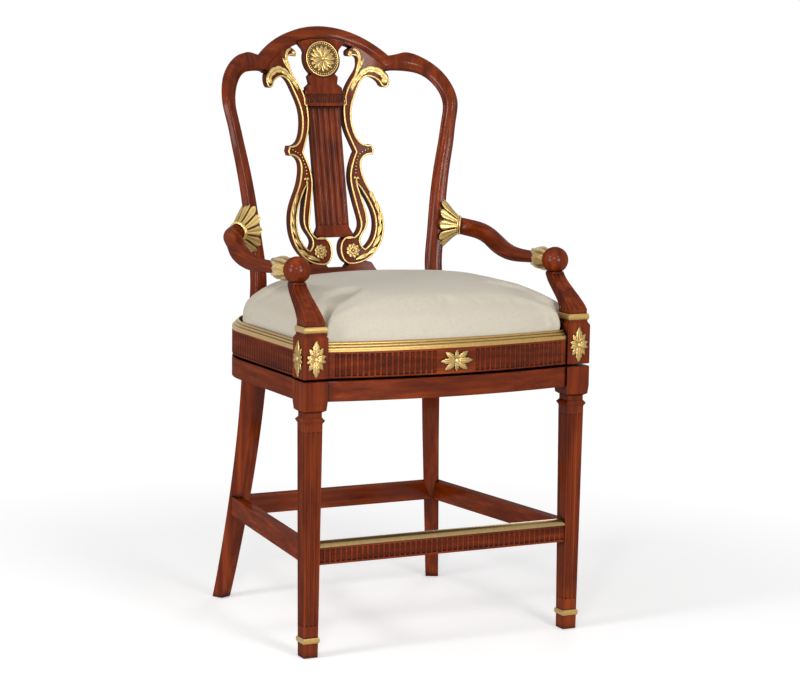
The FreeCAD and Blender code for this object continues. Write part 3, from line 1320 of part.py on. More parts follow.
def column_blank():
    """Fluted column with base, capital, neck and the disc behind the medallion."""
    half = size.column_half
    low = size.column_low
    base = low + size.column_base_tall
    cap = size.capital_low
    cap_top = cap + size.capital_tall
    radius = size.medallion_radius + size.medallion_rim
    neck = size.medallion_high - radius
    shaft = [(half + 7, low), (half + 7, low + 8), (half + 1, base), (half, base + 2), (half, cap + 1)]
    head = [
        (half, cap - 4), (size.capital_half, cap), (size.capital_half, cap_top), (half + 5, cap_top + 1),
        (half + 5, cap_top + 6), (half - 5, cap_top + 14), (half - 2, neck + 4), (half - 8, neck + 10),
    ]
    disc = Part.makeCylinder(radius, 2 * size.back_high, FreeCAD.Vector(0, -size.back_high, size.medallion_high),
                             FreeCAD.Vector(0, 1, 0))
    wide = 2 * size.capital_half
    rear_slab = back_slab(-size.column_behind, size.column_deep, wide, low - 20, size.back_high)
    fore_slab = back_slab(size.capital_ahead, size.capital_deep, wide, low - 20, size.back_high)
    top = size.back_high - size.arch_tall
    spandrel = [(0.9 * radius, size.medallion_high + 0.2 * radius), (radius, size.medallion_high + 0.5 * radius)]
    for share in (1.35, 0.9, 0.45):
        drop = arc_drop(share * radius / size.arch_half, size.arch_half, size.arch_rise)
        spandrel.append((share * radius, top - drop + size.tenon_set / 2))
    column = elevation_polygon(both_halves(shaft)).common(rear_slab)
    capital = elevation_polygon(both_halves(head)).fuse([disc, elevation_polygon(both_halves(spandrel))])
    capital = capital.common(fore_slab)
    column = column.cut(back_flutes(size.column_flutes, half, size.column_behind, base + 6, cap - 8))
    capital = capital.cut(back_flutes(size.capital_flutes, size.capital_half, -size.capital_ahead, cap + 3, cap_top - 6))
    return column.fuse(capital)


def back_flutes(number, half, behind_face, low, high):
    """Cutters for flutes side by side on the back, between two heights."""
    count = int(number)
    pitch = 2 * half / (count + 0.3)
    flute = pitch * 0.4
    deep = min(size.rail_flute_deep, flute * 0.8)
    radius = (flute ** 2 + deep ** 2) / (2 * deep)
    cutters = []
    for index in range(count):
        x = (index - (count - 1) / 2) * pitch
        foot, top = [back_point(x, level) + FreeCAD.Vector(0, behind_face, 0) for level in (low, high)]
        outward = back_inward(x, (low + high) / 2) * -1
        cutters.append(Part.makeCylinder(radius, (top - foot).Length, foot + outward * (radius - deep), top - foot))
    return cutters


def both_halves(right):
    """Outline closed with its mirror image."""
    return right + [(-x, high) for x, high in reversed(right)]


def applied_ornaments(blanks):
    """Petalled ornaments on the blocks and on the front rail."""
    middle = (value(SEAT_LOW) + size.post_neck_low) / 2
    pieces = []
    for side, sign in SIDES:
        x = sign * size.leg_spread / 2
        half = size.leg_block / 2
        plain = flower(size.block_rosette_wide, size.block_rosette_tall, 8, size.ornament_deep)
        faces = ((vec(x, -size.leg_ahead - half, middle), FreeCAD.Vector(0, -1, 0)),
                 (vec(x + sign * half, -size.leg_ahead, middle), FreeCAD.Vector(sign, 0, 0)))
        for number, (place, outward) in enumerate(faces):
            pieces.append(shaped(f"block_rosette_{side}_{number}", set_facing(plain, place, outward)))
    keep("block_rosettes", group("block_rosettes", pieces))
    plain = flower(size.rail_rosette_wide, size.rail_rosette_tall, 8, size.ornament_deep + size.front_bow)
    face = value(FACE_Y) - size.front_bow
    place = vec(0, face + size.front_bow, (value(SEAT_LOW) + value(RAIL_TOP)) / 2)
    bud = shaped("rail_rosette_blank", set_facing(plain, place, FreeCAD.Vector(0, -1, 0)))
    keep("rail_rosette", cut("rail_rosette", bud, doc.getObject("seat_rail_front_board")))


def cushion_wire(share, notch, over, high):
    """Level outline of the cushion, shrunk towards its middle, cut in at the arm posts and wider over the moulding."""
    edge = size.moulding_wide + size.cushion_gap
    side = value(SIDE_X) - edge + over * size.cushion_over
    face = value(FACE_Y) + edge
    block_x = value(BLOCK_X) - size.cushion_draw
    block_y = value(BLOCK_BACK) + size.cushion_draw
    post_share = (value(RAIL_TOP) - size.post_foot) / (size.shoulder_low - size.post_foot)
    outer, inner = post_section(post_share, post_splay(post_share))
    gap = size.cushion_gap + size.cushion_draw
    post_out = (outer[0] + 4, back_y(outer[0], value(RAIL_TOP)) - gap)
    post_in = (inner[0] - 4, back_y(inner[0], value(RAIL_TOP)) - gap)
    rear = back_y(0, value(RAIL_TOP)) - gap
    bulge_x = (side + post_out[0]) / 2 + 0.2 * (side - post_out[0])
    bulge_y = (size.corner_behind + post_out[1]) / 2 + 0.12 * (post_out[1] - size.corner_behind)
    slant = ((block_x + side) / 2, (face + block_y) / 2)
    corner = (slant[0] + (block_x - slant[0]) * notch, slant[1] + (block_y - slant[1]) * notch)
    right = [(block_x, face), corner, (side, block_y), (side, size.corner_behind), post_out, post_in]
    spots = right + [(-x, y) for x, y in reversed(right)]
    bends = {3: (bulge_x, bulge_y), 5: (0, rear), 7: (-bulge_x, bulge_y), 11: (0, face - size.front_bow)}
    middle = (face + rear) / 2
    shrunk = lambda spot: vec(spot[0] * share, middle + (spot[1] - middle) * share, high)
    places = [shrunk(spot) for spot in spots]
    edges = []
    for index, place in enumerate(places):
        following = places[(index + 1) % len(places)]
        if index in bends:
            edges.append(Part.Arc(place, shrunk(bends[index]), following).toShape())
        else:
            edges.append(Part.LineSegment(place, following).toShape())
    return Part.Wire(edges)


def cushion():
    """Padded seat: drawn in at the deck, fullest above it, and crowned."""
    low = value(RAIL_TOP) + size.cushion_gap
    rise = size.cushion_crown - size.cushion_gap
    drawn = 1 - 2 * size.cushion_draw / size.leg_spread
    levels = ((drawn, 1, 0, 0), (1, 1, 0.3, size.cushion_bulge_high / rise), (0.985, 1, 1, 0.47), (0.925, 0.9, 1, 0.66),
              (0.8, 0.4, 1, 0.83), (0.57, -0.2, 1, 0.95), (0.3, -0.4, 1, 1))
    wires = [cushion_wire(share, notch, over, low + up * rise) for share, notch, over, up in levels]
    keep("seat_cushion", shaped("seat_cushion", loft(wires)))


def write_parts():
    doc.recompute()
    for obj in doc.Objects:
        if "Invalid" in obj.State or "Error" in obj.State:
            raise RuntimeError(f"{obj.Name} did not build: {obj.State}")
    for label, obj in nodes.items():
        if obj.Shape.isNull() or not obj.Shape.isValid():
            raise RuntimeError(f"{label} has no valid shape")
    os.makedirs("parts", exist_ok=True)
    for label, obj in nodes.items():
        obj.Shape.exportStep(f"parts/{label}.step")
        print(f"{label}: {len(obj.Shape.Solids)} solids, {obj.Shape.Volume / 1000:.1f} cm3")
    box = FreeCAD.BoundBox()
    for obj in nodes.values():
        box.add(obj.Shape.BoundBox)
    print(f"box {box.XMin:.1f} {box.YMin:.1f} {box.ZMin:.1f} to {box.XMax:.1f} {box.YMax:.1f} {box.ZMax:.1f}")


leg_frame()
blanks = arms()
seat_frame(blanks)
swivel()
moulding()
deck(blanks)
splat(blanks)
applied_ornaments(blanks)
cushion()
write_parts()
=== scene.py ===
import math

import bmesh
import bpy
from mathutils import Matrix, Vector


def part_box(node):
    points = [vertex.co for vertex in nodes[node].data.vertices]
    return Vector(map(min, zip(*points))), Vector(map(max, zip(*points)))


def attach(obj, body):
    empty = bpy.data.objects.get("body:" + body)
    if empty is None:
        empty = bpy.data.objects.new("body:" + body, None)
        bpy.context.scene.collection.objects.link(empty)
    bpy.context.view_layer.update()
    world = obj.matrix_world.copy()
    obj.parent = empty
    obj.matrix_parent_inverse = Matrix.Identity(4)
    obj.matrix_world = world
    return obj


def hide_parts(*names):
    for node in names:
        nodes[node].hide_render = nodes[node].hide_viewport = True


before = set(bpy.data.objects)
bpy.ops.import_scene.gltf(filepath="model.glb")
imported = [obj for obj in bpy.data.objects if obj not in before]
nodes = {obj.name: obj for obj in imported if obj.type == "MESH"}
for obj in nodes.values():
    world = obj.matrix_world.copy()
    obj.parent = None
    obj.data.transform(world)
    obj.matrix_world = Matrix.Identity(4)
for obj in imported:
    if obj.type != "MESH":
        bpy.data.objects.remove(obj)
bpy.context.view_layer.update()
scene = bpy.context.scene
scene.view_settings.view_transform = "Standard"

MM = 0.001
WELD = 2e-5
SIDES = (("left", -1), ("right", 1))
UP = Vector((0, 0, 1))
FRONT = Vector((0, -1, 0))
BLACK = (0.0, 0.0, 0.0)
WHITE = (1.0, 1.0, 1.0)


# Materials

def new_material(name):
    material = bpy.data.materials.new(name)
    material.use_nodes = True
    tree = material.node_tree
    return material, tree, tree.nodes["Principled BSDF"]


def add(tree, kind, **settings):
    """A node with its settings and constant sockets."""
    node = tree.nodes.new(kind)
    for key, value in settings.items():
        if hasattr(node, key):
            setattr(node, key, value)
        else:
            node.inputs[key.replace("_", " ").title()].default_value = value
    return node


def ramp(tree, source, stops):
    """Colours at stops along a value."""
    node = tree.nodes.new("ShaderNodeValToRGB")
    node.color_ramp.elements[0].position = stops[0][0]
    node.color_ramp.elements[0].color = (*stops[0][1], 1)
    node.color_ramp.elements[1].position = stops[-1][0]
    node.color_ramp.elements[1].color = (*stops[-1][1], 1)
    for place, colour in stops[1:-1]:
        node.color_ramp.elements.new(place).color = (*colour, 1)
    tree.links.new(source, node.inputs["Fac"])
    return node.outputs["Color"]


def mixed(tree, factor, first, second, mode="MIX"):
    """Two colours mixed; each value is a socket or a constant."""
    node = tree.nodes.new("ShaderNodeMix")
    node.data_type = "RGBA"
    node.blend_type = mode
    for value, socket in ((factor, node.inputs[0]), (first, node.inputs[6]), (second, node.inputs[7])):
        if isinstance(value, bpy.types.NodeSocket):
            tree.links.new(value, socket)
        elif isinstance(value, tuple):
            socket.default_value = (*value, 1)
        else:
            socket.default_value = value
    return node.outputs[2]


def calc(tree, operation, first, second):
    """Result of a sum; each value is a socket or a constant."""
    node = tree.nodes.new("ShaderNodeMath")
    node.operation = operation
    for value, socket in ((first, node.inputs[0]), (second, node.inputs[1])):
        if isinstance(value, bpy.types.NodeSocket):
            tree.links.new(value, socket)
        else:
            socket.default_value = value
    return node.outputs[0]


def streaks(tree, stretch, detail, distortion=0.0):
    """Noise in the piece's own coordinates, stretched by a scale along each axis."""
    place = tree.nodes.new("ShaderNodeTexCoord")
    mapping = tree.nodes.new("ShaderNodeMapping")
    mapping.inputs["Scale"].default_value = stretch
    tree.links.new(place.outputs["Object"], mapping.inputs["Vector"])
    noise = add(tree, "ShaderNodeTexNoise", scale=1.0, detail=detail, roughness=0.6, distortion=distortion)
    tree.links.new(mapping.outputs["Vector"], noise.inputs["Vector"])
    return noise.outputs["Fac"]


def hollow_shade(tree, reach):
    """1 in the open and 0 deep in a groove; it drives the painted shade in grooves, recesses and between parts."""
    return add(tree, "ShaderNodeAmbientOcclusion", samples=6, distance=reach).outputs["AO"]


def bumped(tree, shader, height, strength, distance):
    bump = tree.nodes.new("ShaderNodeBump")
    bump.inputs["Strength"].default_value = strength
    bump.inputs["Distance"].default_value = distance
    tree.links.new(height, bump.inputs["Height"])
    tree.links.new(bump.outputs["Normal"], shader.inputs["Normal"])


def grained(grain, across, along):
    """Scale on each axis, with its own value along the grain."""
    stretch = [across] * 3
    stretch[grain] = along
    return stretch


# Reach of a hollow, and how open it is at full painted shade and at none, with darker stain on the mahogany
HOLLOW_SHADE_LEVELS = ((0.014, 0.45, 0.95), (0.005, 0.5, 0.93))
COAT_ROUGH = 0.17
COAT_IOR = 2.4


def wood(name, grain, stops, rough, coat, groove):
    """Polished wood with its grain along one axis, darkened in its grooves, recesses and joints as painted shade,
    with darker stain on the mahogany.
    """
    material, tree, shader = new_material(name)
    figure = ramp(tree, streaks(tree, grained(grain, 85.0, 3.4), 5.0, 0.25), stops)
    pores = streaks(tree, grained(grain, 420.0, 16.0), 3.0)
    shade = ramp(tree, pores, ((0.3, (0.62, 0.58, 0.55)), (0.55, WHITE)))
    colour = mixed(tree, 0.4, figure, shade, "MULTIPLY")
    clouds = streaks(tree, grained(grain, 30.0, 9.0), 3.0)
    mottle = ramp(tree, clouds, ((0.34, (0.5, 0.44, 0.42)), (0.6, WHITE)))
    colour = mixed(tree, 0.75, colour, mottle, "MULTIPLY")
    # Painted shade: each occlusion pass darkens the colour in grooves, recesses and between parts
    for reach, deep, level in HOLLOW_SHADE_LEVELS:
        hollow_shaded = ramp(tree, hollow_shade(tree, reach), ((deep, groove), (level, WHITE)))
        colour = mixed(tree, 1.0, colour, hollow_shaded, "MULTIPLY")
    tree.links.new(colour, shader.inputs["Base Color"])
    shader.inputs["Roughness"].default_value = rough
    shader.inputs["Specular IOR Level"].default_value = 0.0
    shader.inputs["Coat Weight"].default_value = coat
    shader.inputs["Coat Roughness"].default_value = COAT_ROUGH
    shader.inputs["Coat IOR"].default_value = COAT_IOR
    bumped(tree, shader, pores, 0.12, 0.0004)
    return material


def gilding(name, bright, shade_and_tarnish, metal, rough):
    """Gilt metal, darkened where it is sunk and where it is marked: painted shade in recesses and under leaves,
    with some tarnishing.
    """
    material, tree, shader = new_material(name)
    mark = add(tree, "ShaderNodeAttribute", attribute_name="painted_shade_and_tarnish")
    # Painted shade: the gilt takes its darker colour in recesses within 8 mm
    open_part = ramp(tree, hollow_shade(tree, 0.008), ((0.42, BLACK), (0.94, WHITE)))
    unmarked = calc(tree, "SUBTRACT", 1.0, mark.outputs["Fac"])
    amount = calc(tree, "MULTIPLY", unmarked, open_part)
    spots = streaks(tree, (160.0, 160.0, 160.0), 4.0)
    mottle = ramp(tree, spots, ((0.3, (0.8, 0.78, 0.74)), (0.65, WHITE)))
    colour = mixed(tree, amount, shade_and_tarnish, bright)
    tree.links.new(mixed(tree, 1.0, colour, mottle, "MULTIPLY"), shader.inputs["Base Color"])
    shader.inputs["Metallic"].default_value = metal
    shader.inputs["Roughness"].default_value = rough
    return material


def woven(name, pale, shaded):
    """Plain linen weave."""
    material, tree, shader = new_material(name)
    warp = streaks(tree, (1500.0, 260.0, 700.0), 2.0)
    weft = streaks(tree, (260.0, 1500.0, 700.0), 2.0)
    threads = calc(tree, "MULTIPLY", warp, weft)
    tree.links.new(ramp(tree, threads, ((0.12, shaded), (0.38, pale))), shader.inputs["Base Color"])
    shader.inputs["Roughness"].default_value = 0.9
    shader.inputs["Sheen Weight"].default_value = 0.15
    bumped(tree, shader, threads, 0.35, 0.0006)
    return material


def plain(name, colour, rough, metal=0.0):
    material, _, shader = new_material(name)
    shader.inputs["Base Color"].default_value = (*colour, 1)
    shader.inputs["Roughness"].default_value = rough
    shader.inputs["Metallic"].default_value = metal
    return material


RED_BROWN = ((0.28, (0.118, 0.0145, 0.0014)), (0.5, (0.2, 0.0275, 0.0028)), (0.72, (0.31, 0.054, 0.008)))
PALE_WOOD = ((0.25, (0.42, 0.27, 0.15)), (0.75, (0.62, 0.43, 0.26)))
# Colours of the painted shade in grooves, recesses and joints; on the mahogany it also stands for darker stain
MAHOGANY_SHADE_AND_STAIN = (0.12, 0.07, 0.05)
PALE_WOOD_SHADE = (0.6, 0.55, 0.5)
mahogany = [wood(f"mahogany grain {axis}", index, RED_BROWN, 0.3, 0.075, MAHOGANY_SHADE_AND_STAIN)
            for index, axis in enumerate("xyz")]
beech = wood("beech", 0, PALE_WOOD, 0.6, 0.0, PALE_WOOD_SHADE)
plywood = wood("plywood", 1, PALE_WOOD, 0.7, 0.0, PALE_WOOD_SHADE)
# The second colour of each gilding is painted shade in recesses and creases, with some tarnishing
gilt = gilding("antique gilt", (0.84, 0.585, 0.215), (0.075, 0.028, 0.005), 0.7, 0.32)
# A darker copy of the gilt for the collars and seat mouldings
darker_gilt = gilding("darker gilt", (0.47, 0.3, 0.1), (0.05, 0.02, 0.005), 0.85, 0.34)
brass = gilding("aged brass", (0.36, 0.25, 0.11), (0.12, 0.065, 0.025), 0.95, 0.28)
linen = woven("linen", (0.69, 0.63, 0.52), (0.57, 0.51, 0.41))
steel = plain("zinc plated steel", (0.55, 0.56, 0.58), 0.35, 1.0)
nylon = plain("white nylon", (0.8, 0.8, 0.77), 0.5)

FINISHES = (
    (mahogany[0], "apron_front apron_rear seat_rail_front seat_rail_rear footrest_rail stretcher_rear "
     "crest_rail splat_shoe"),
    (mahogany[1], "apron_left apron_right seat_rail_left seat_rail_right stretcher_left stretcher_right "
     "arm_left arm_right"),
    (mahogany[2], "front_leg_left front_leg_right rear_leg_left rear_leg_right arm_post_left arm_post_right "
     "arm_knob_left arm_knob_right back_post_left back_post_right splat_column lyre_left lyre_right"),
    (darker_gilt, "foot_collar_left foot_collar_right post_collar_left post_collar_right seat_moulding_front "
     "seat_moulding_left seat_moulding_right"),
    (gilt, "medallion lyre_rosettes block_rosettes rail_rosette arm_cup_left arm_cup_right arm_palmette_left "
     "arm_palmette_right"),
    (brass, "footrest_cap footrest_cap_pins"),
    (beech, "base_bearer_front base_bearer_rear seat_bearer_front seat_bearer_rear"),
    (plywood, "seat_deck"),
    (steel, "swivel_lower_plate swivel_upper_plate swivel_balls swivel_rivet lower_plate_screws "
     "upper_plate_screws"),
    (nylon, "foot_glides"),
    (linen, "seat_cushion"),
)
for material, names in FINISHES:
    for name in names.split():
        nodes[name].data.materials.clear()
        nodes[name].data.materials.append(material)


# Surface of the back

# Height and radius of the hollow at three levels
BACK_LEVELS = ((0.527, 0.440), (0.863, 0.340), (1.199, 0.470))
BACK_LEAN = math.radians(12)
BACK_FOOT_HIGH = 0.7106
BACK_FOOT_DEEP = 0.211
LYRE_LOW = 0.683
LYRE_ACROSS = 0.00139
LYRE_UP = 0.0043767
FLOWER_OUT = 0.037


def back_depth(x, high):
    """Depth of the front of the hollow, leaning back."""
    radius = 0.0
    for level, value in BACK_LEVELS:
        for other, _ in BACK_LEVELS:
            if other != level:
                value *= (high - other) / (level - other)
        radius += value
    lean = math.tan(BACK_LEAN) * (high - BACK_FOOT_HIGH)
    return BACK_FOOT_DEEP + lean - radius + math.sqrt(radius ** 2 - x ** 2)


def back_out(x, high):
    """Unit vector from the back towards the sitter."""
    step = MM
    across = (back_depth(x + step, high) - back_depth(x - step, high)) / (2 * step)
    along = (back_depth(x, high + step) - back_depth(x, high - step)) / (2 * step)
    return Vector((across, -1.0, along)).normalized()


def on_back(x, high, lift=0.0):
    """Point a lift off the front of the back."""
    return Vector((x, back_depth(x, high), high)) + back_out(x, high) * lift


def lyre_place(u, v, sign):
    """Place on the lyre, in hundredths of its half width and height, as x and height."""
    return sign * u * LYRE_ACROSS, LYRE_LOW + v * LYRE_UP


def facing(centre, out):
    """Matrix that stands a flat ornament, drawn in XY with +Z outwards, on a face."""
    out = out.normalized()
    right = UP.cross(out).normalized()
    rise = out.cross(right)
    turn = Matrix((right, rise, out)).transposed().to_4x4()
    return Matrix.Translation(centre) @ turn


def lifted(stand, lift):
    """The same stand, moved outwards."""
    return stand @ Matrix.Translation((0, 0, lift))


def welded(mesh):
    """Editable copy of a mesh with its split corners joined."""
    shape = bmesh.new()
    shape.from_mesh(mesh)
    bmesh.ops.remove_doubles(shape, verts=shape.verts, dist=WELD)
    return shape


# Castings

class Casting:
    """Points, faces and marks of painted shade and tarnishing gathered for one gilt piece."""

    def __init__(self):
        self.points = []
        self.faces = []
        self.painted_shade_and_tarnish = []

    def sheet(self, rows, shade_and_tarnish, out, closed=False):
        """A surface through rows of points, its faces turned outwards."""
        first = len(self.points)
        across = len(rows[0])
        for row, marks in zip(rows, shade_and_tarnish):
            self.points += row
            self.painted_shade_and_tarnish += marks
        faces = []
        for low in range(len(rows) - 1):
            for near in range(across if closed else across - 1):
                far = (near + 1) % across
                base = first + low * across
                faces.append((base + near, base + far, base + across + far, base + across + near))
        lean = 0.0
        for face in faces:
            a, b, c, d = [self.points[index] for index in face]
            normal = (c - a).cross(d - b)
            lean += normal.dot(out((a + b + c + d) / 4))
        self.faces += faces if lean > 0 else [face[::-1] for face in faces]

    def turned(self, profile, matrix, steps=24, mark=0.0):
        """A turned piece from radius and height pairs."""
        rows = []
        for radius, high in profile:
            angles = [2 * math.pi * step / steps for step in range(steps)]
            rows.append([matrix @ Vector((radius * math.cos(a), radius * math.sin(a), high)) for a in angles])
        inside = matrix.translation - matrix.to_3x3() @ UP * 4 * MM
        self.sheet(rows, [[mark] * steps for _ in rows], lambda point: point - inside, closed=True)

    def knob(self, radius, tall, matrix, steps):
        """A round bead on a face."""
        self.turned([(radius * wide, tall * high) for wide, high in BEAD], matrix, steps)

    def add(self, mesh, matrix):
        """A finished mesh with its marks of painted shade and tarnishing."""
        first = len(self.points)
        self.points += [matrix @ vertex.co for vertex in mesh.vertices]
        self.faces += [tuple(first + index for index in face.vertices) for face in mesh.polygons]
        marks = mesh.attributes.get("painted_shade_and_tarnish")
        self.painted_shade_and_tarnish += [item.value for item in marks.data] if marks else [0.0] * len(mesh.vertices)

    def mesh(self, name):
        mesh = bpy.data.meshes.new(name)
        mesh.from_pydata([tuple(point) for point in self.points], [], self.faces)
        marks = mesh.attributes.new("painted_shade_and_tarnish", "FLOAT", "POINT")
        marks.data.foreach_set("value", self.painted_shade_and_tarnish)
        mesh.polygons.foreach_set("use_smooth", [True] * len(mesh.polygons))
        mesh.update()
        return mesh

    def piece(self, name, *replaced):
        """The finished piece, riding on the seat."""
        made = bpy.data.objects.new(name, self.mesh(name))
        made.data.materials.append(gilt)
        scene.collection.objects.link(made)
        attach(made, "seat")
        if replaced:
            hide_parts(*replaced)
        return made


# Ribs across a leaf: share of the half width, height and darkening, painted shade in the sunk parts with some
# tarnishing; outlines: share of the length and width
RIBS = ((-1.0, 0.0, 0.75), (-0.6, 1.0, 0.0), (0.0, 0.4, 0.5), (0.6, 1.0, 0.0), (1.0, 0.0, 0.75))
BROAD_RIBS = ((-1.0, 0.0, 0.85), (-0.74, 0.9, 0.05), (-0.22, 1.0, 0.0), (0.0, 0.62, 0.5), (0.22, 1.0, 0.0),
              (0.74, 0.9, 0.05), (1.0, 0.0, 0.85))
LEAF_RIBS = ((-1.0, 0.3, 0.2), (-0.76, 1.0, 0.0), (-0.36, 0.4, 0.6), (0.0, 0.95, 0.0), (0.36, 0.4, 0.6),
             (0.76, 1.0, 0.0), (1.0, 0.3, 0.2))
PETAL = ((0.0, 0.3), (0.2, 0.55), (0.42, 0.84), (0.62, 1.0), (0.8, 0.86), (0.93, 0.5), (1.0, 0.06))
LEAF = ((0.0, 0.35), (0.14, 0.6), (0.26, 0.95), (0.34, 0.7), (0.46, 1.0), (0.56, 0.72), (0.68, 0.84),
        (0.78, 0.5), (0.9, 0.36), (1.0, 0.05))
BEAD = ((1.0, 0.0), (0.82, 0.6), (0.45, 0.92), (0.0, 1.0))


def petal_seed(length, width, rise, ribs=RIBS, outline=PETAL):
    """One petal along +X: raised beside a sunk vein."""
    seed = Casting()
    rows = []
    for run, wide in outline:
        swell = rise * (0.45 + 0.55 * math.sin(math.pi * min(run, 0.96)))
        half = width / 2 * wide
        rows.append([Vector((length * run, half * share, swell * high)) for share, high, _ in ribs])
    seed.sheet(rows, [[mark for _, _, mark in ribs] for _ in rows], lambda point: UP)
    return seed.mesh("petal seed")


def bead_seed(radius):
    seed = Casting()
    seed.knob(radius, radius, Matrix.Identity(4), 8)
    return seed.mesh("bead seed")


# Repeats

def repeat_tree(name, inputs):
    """An empty tree for repeats with its named inputs."""
    tree = bpy.data.node_groups.new(name, "GeometryNodeTree")
    tree.interface.new_socket("Geometry", in_out="INPUT", socket_type="NodeSocketGeometry")
    for label, kind in inputs:
        tree.interface.new_socket(label, in_out="INPUT", socket_type=f"NodeSocket{kind}")
    tree.interface.new_socket("Geometry", in_out="OUTPUT", socket_type="NodeSocketGeometry")
    return tree, tree.nodes.new("NodeGroupInput").outputs, tree.nodes.new("NodeGroupOutput").inputs


def end_tree(tree, geometry, finish, output):
    """Real geometry with its finish at the end of a tree."""
    real = tree.nodes.new("GeometryNodeRealizeInstances")
    coat = tree.nodes.new("GeometryNodeSetMaterial")
    tree.links.new(geometry, real.inputs[0])
    tree.links.new(real.outputs[0], coat.inputs["Geometry"])
    tree.links.new(finish, coat.inputs["Material"])
    tree.links.new(coat.outputs[0], output[0])


def fan_tree():
    """Repeats a seed round a centre, as a whole ring or as a fan that shrinks to its sides."""
    inputs = (("Count", "Int"), ("Radius", "Float"), ("Start", "Float"), ("Step", "Float"), ("Lean", "Float"),
              ("Falloff", "Float"), ("Seed", "Int"), ("Finish", "Material"))
    tree, source, output = repeat_tree("fan of repeats", inputs)
    index = tree.nodes.new("GeometryNodeInputIndex").outputs[0]
    angle = calc(tree, "ADD", calc(tree, "MULTIPLY", index, source["Step"]), source["Start"])
    place = tree.nodes.new("ShaderNodeCombineXYZ")
    for wave, socket in (("COSINE", place.inputs[0]), ("SINE", place.inputs[1])):
        tree.links.new(calc(tree, "MULTIPLY", calc(tree, wave, angle, 0.0), source["Radius"]), socket)
    turn = tree.nodes.new("ShaderNodeCombineXYZ")
    tree.links.new(source["Lean"], turn.inputs[1])
    tree.links.new(angle, turn.inputs[2])
    half = calc(tree, "MULTIPLY", calc(tree, "SUBTRACT", source["Count"], 1.0), 0.5)
    off = calc(tree, "DIVIDE", calc(tree, "ABSOLUTE", calc(tree, "SUBTRACT", index, half), 0.0), half)
    chance = tree.nodes.new("FunctionNodeRandomValue")
    chance.inputs[2].default_value = 0.96
    chance.inputs[3].default_value = 1.03
    tree.links.new(source["Seed"], chance.inputs["Seed"])
    size = calc(tree, "SUBTRACT", chance.outputs[1], calc(tree, "MULTIPLY", off, source["Falloff"]))
    points = tree.nodes.new("GeometryNodePoints")
    tree.links.new(source["Count"], points.inputs["Count"])
    tree.links.new(place.outputs[0], points.inputs["Position"])
    copies = tree.nodes.new("GeometryNodeInstanceOnPoints")
    tree.links.new(points.outputs[0], copies.inputs["Points"])
    tree.links.new(source["Geometry"], copies.inputs["Instance"])
    tree.links.new(turn.outputs[0], copies.inputs["Rotation"])
    tree.links.new(size, copies.inputs["Scale"])
    end_tree(tree, copies.outputs[0], source["Finish"], output)
    return tree


def trail_tree():
    """Sets a seed along a path, facing the way the path's points face."""
    inputs = (("Piece", "Object"), ("Spacing", "Float"), ("First", "Float"), ("Last", "Float"),
              ("Finish", "Material"))
    tree, source, output = repeat_tree("trail of repeats", inputs)
    curve = tree.nodes.new("GeometryNodeMeshToCurve")
    tree.links.new(source["Geometry"], curve.inputs[0])
    even = tree.nodes.new("GeometryNodeResampleCurve")
    even.mode = "LENGTH"
    tree.links.new(curve.outputs[0], even.inputs["Curve"])
    tree.links.new(source["Spacing"], even.inputs["Length"])
    out = tree.nodes.new("GeometryNodeInputNamedAttribute")
    out.data_type = "FLOAT_VECTOR"
    out.inputs["Name"].default_value = "out"
    stand = tree.nodes.new("FunctionNodeAlignRotationToVector")
    stand.axis = "Z"
    tree.links.new(out.outputs[0], stand.inputs["Vector"])
    point = tree.nodes.new("FunctionNodeAlignRotationToVector")
    point.axis = "X"
    point.pivot_axis = "Z"
    tree.links.new(stand.outputs[0], point.inputs["Rotation"])
    tree.links.new(tree.nodes.new("GeometryNodeInputTangent").outputs[0], point.inputs["Vector"])
    share = tree.nodes.new("GeometryNodeSplineParameter").outputs["Factor"]
    growth = calc(tree, "MULTIPLY", share, calc(tree, "SUBTRACT", source["Last"], source["First"]))
    size = calc(tree, "ADD", source["First"], growth)
    piece = tree.nodes.new("GeometryNodeObjectInfo")
    tree.links.new(source["Piece"], piece.inputs["Object"])
    copies = tree.nodes.new("GeometryNodeInstanceOnPoints")
    tree.links.new(even.outputs[0], copies.inputs["Points"])
    tree.links.new(piece.outputs["Geometry"], copies.inputs["Instance"])
    tree.links.new(point.outputs[0], copies.inputs["Rotation"])
    tree.links.new(size, copies.inputs["Scale"])
    end_tree(tree, copies.outputs[0], source["Finish"], output)
    return tree


def line_tree():
    """A round line along a path."""
    tree, source, output = repeat_tree("line along a path", (("Radius", "Float"), ("Finish", "Material")))
    curve = tree.nodes.new("GeometryNodeMeshToCurve")
    tree.links.new(source["Geometry"], curve.inputs[0])
    ring = tree.nodes.new("GeometryNodeCurvePrimitiveCircle")
    ring.inputs["Resolution"].default_value = 8
    tree.links.new(source["Radius"], ring.inputs["Radius"])
    sweep = tree.nodes.new("GeometryNodeCurveToMesh")
    tree.links.new(curve.outputs[0], sweep.inputs["Curve"])
    tree.links.new(ring.outputs[0], sweep.inputs["Profile Curve"])
    end_tree(tree, sweep.outputs[0], source["Finish"], output)
    return tree


FAN = fan_tree()
TRAIL = trail_tree()
LINE = line_tree()


def repeated(mesh, tree, **inputs):
    """The mesh that a tree makes of a seed or a path."""
    holder = bpy.data.objects.new("repeat holder", mesh)
    scene.collection.objects.link(holder)
    modifier = holder.modifiers.new("repeat", "NODES")
    modifier.node_group = tree
    sockets = {item.name: item.identifier for item in tree.interface.items_tree if item.in_out == "INPUT"}
    for label, value in inputs.items():
        modifier[sockets[label]] = value
    modifier[sockets["Finish"]] = gilt
    graph = bpy.context.evaluated_depsgraph_get()
    made = bpy.data.meshes.new_from_object(holder.evaluated_get(graph))
    bpy.data.objects.remove(holder)
    return made


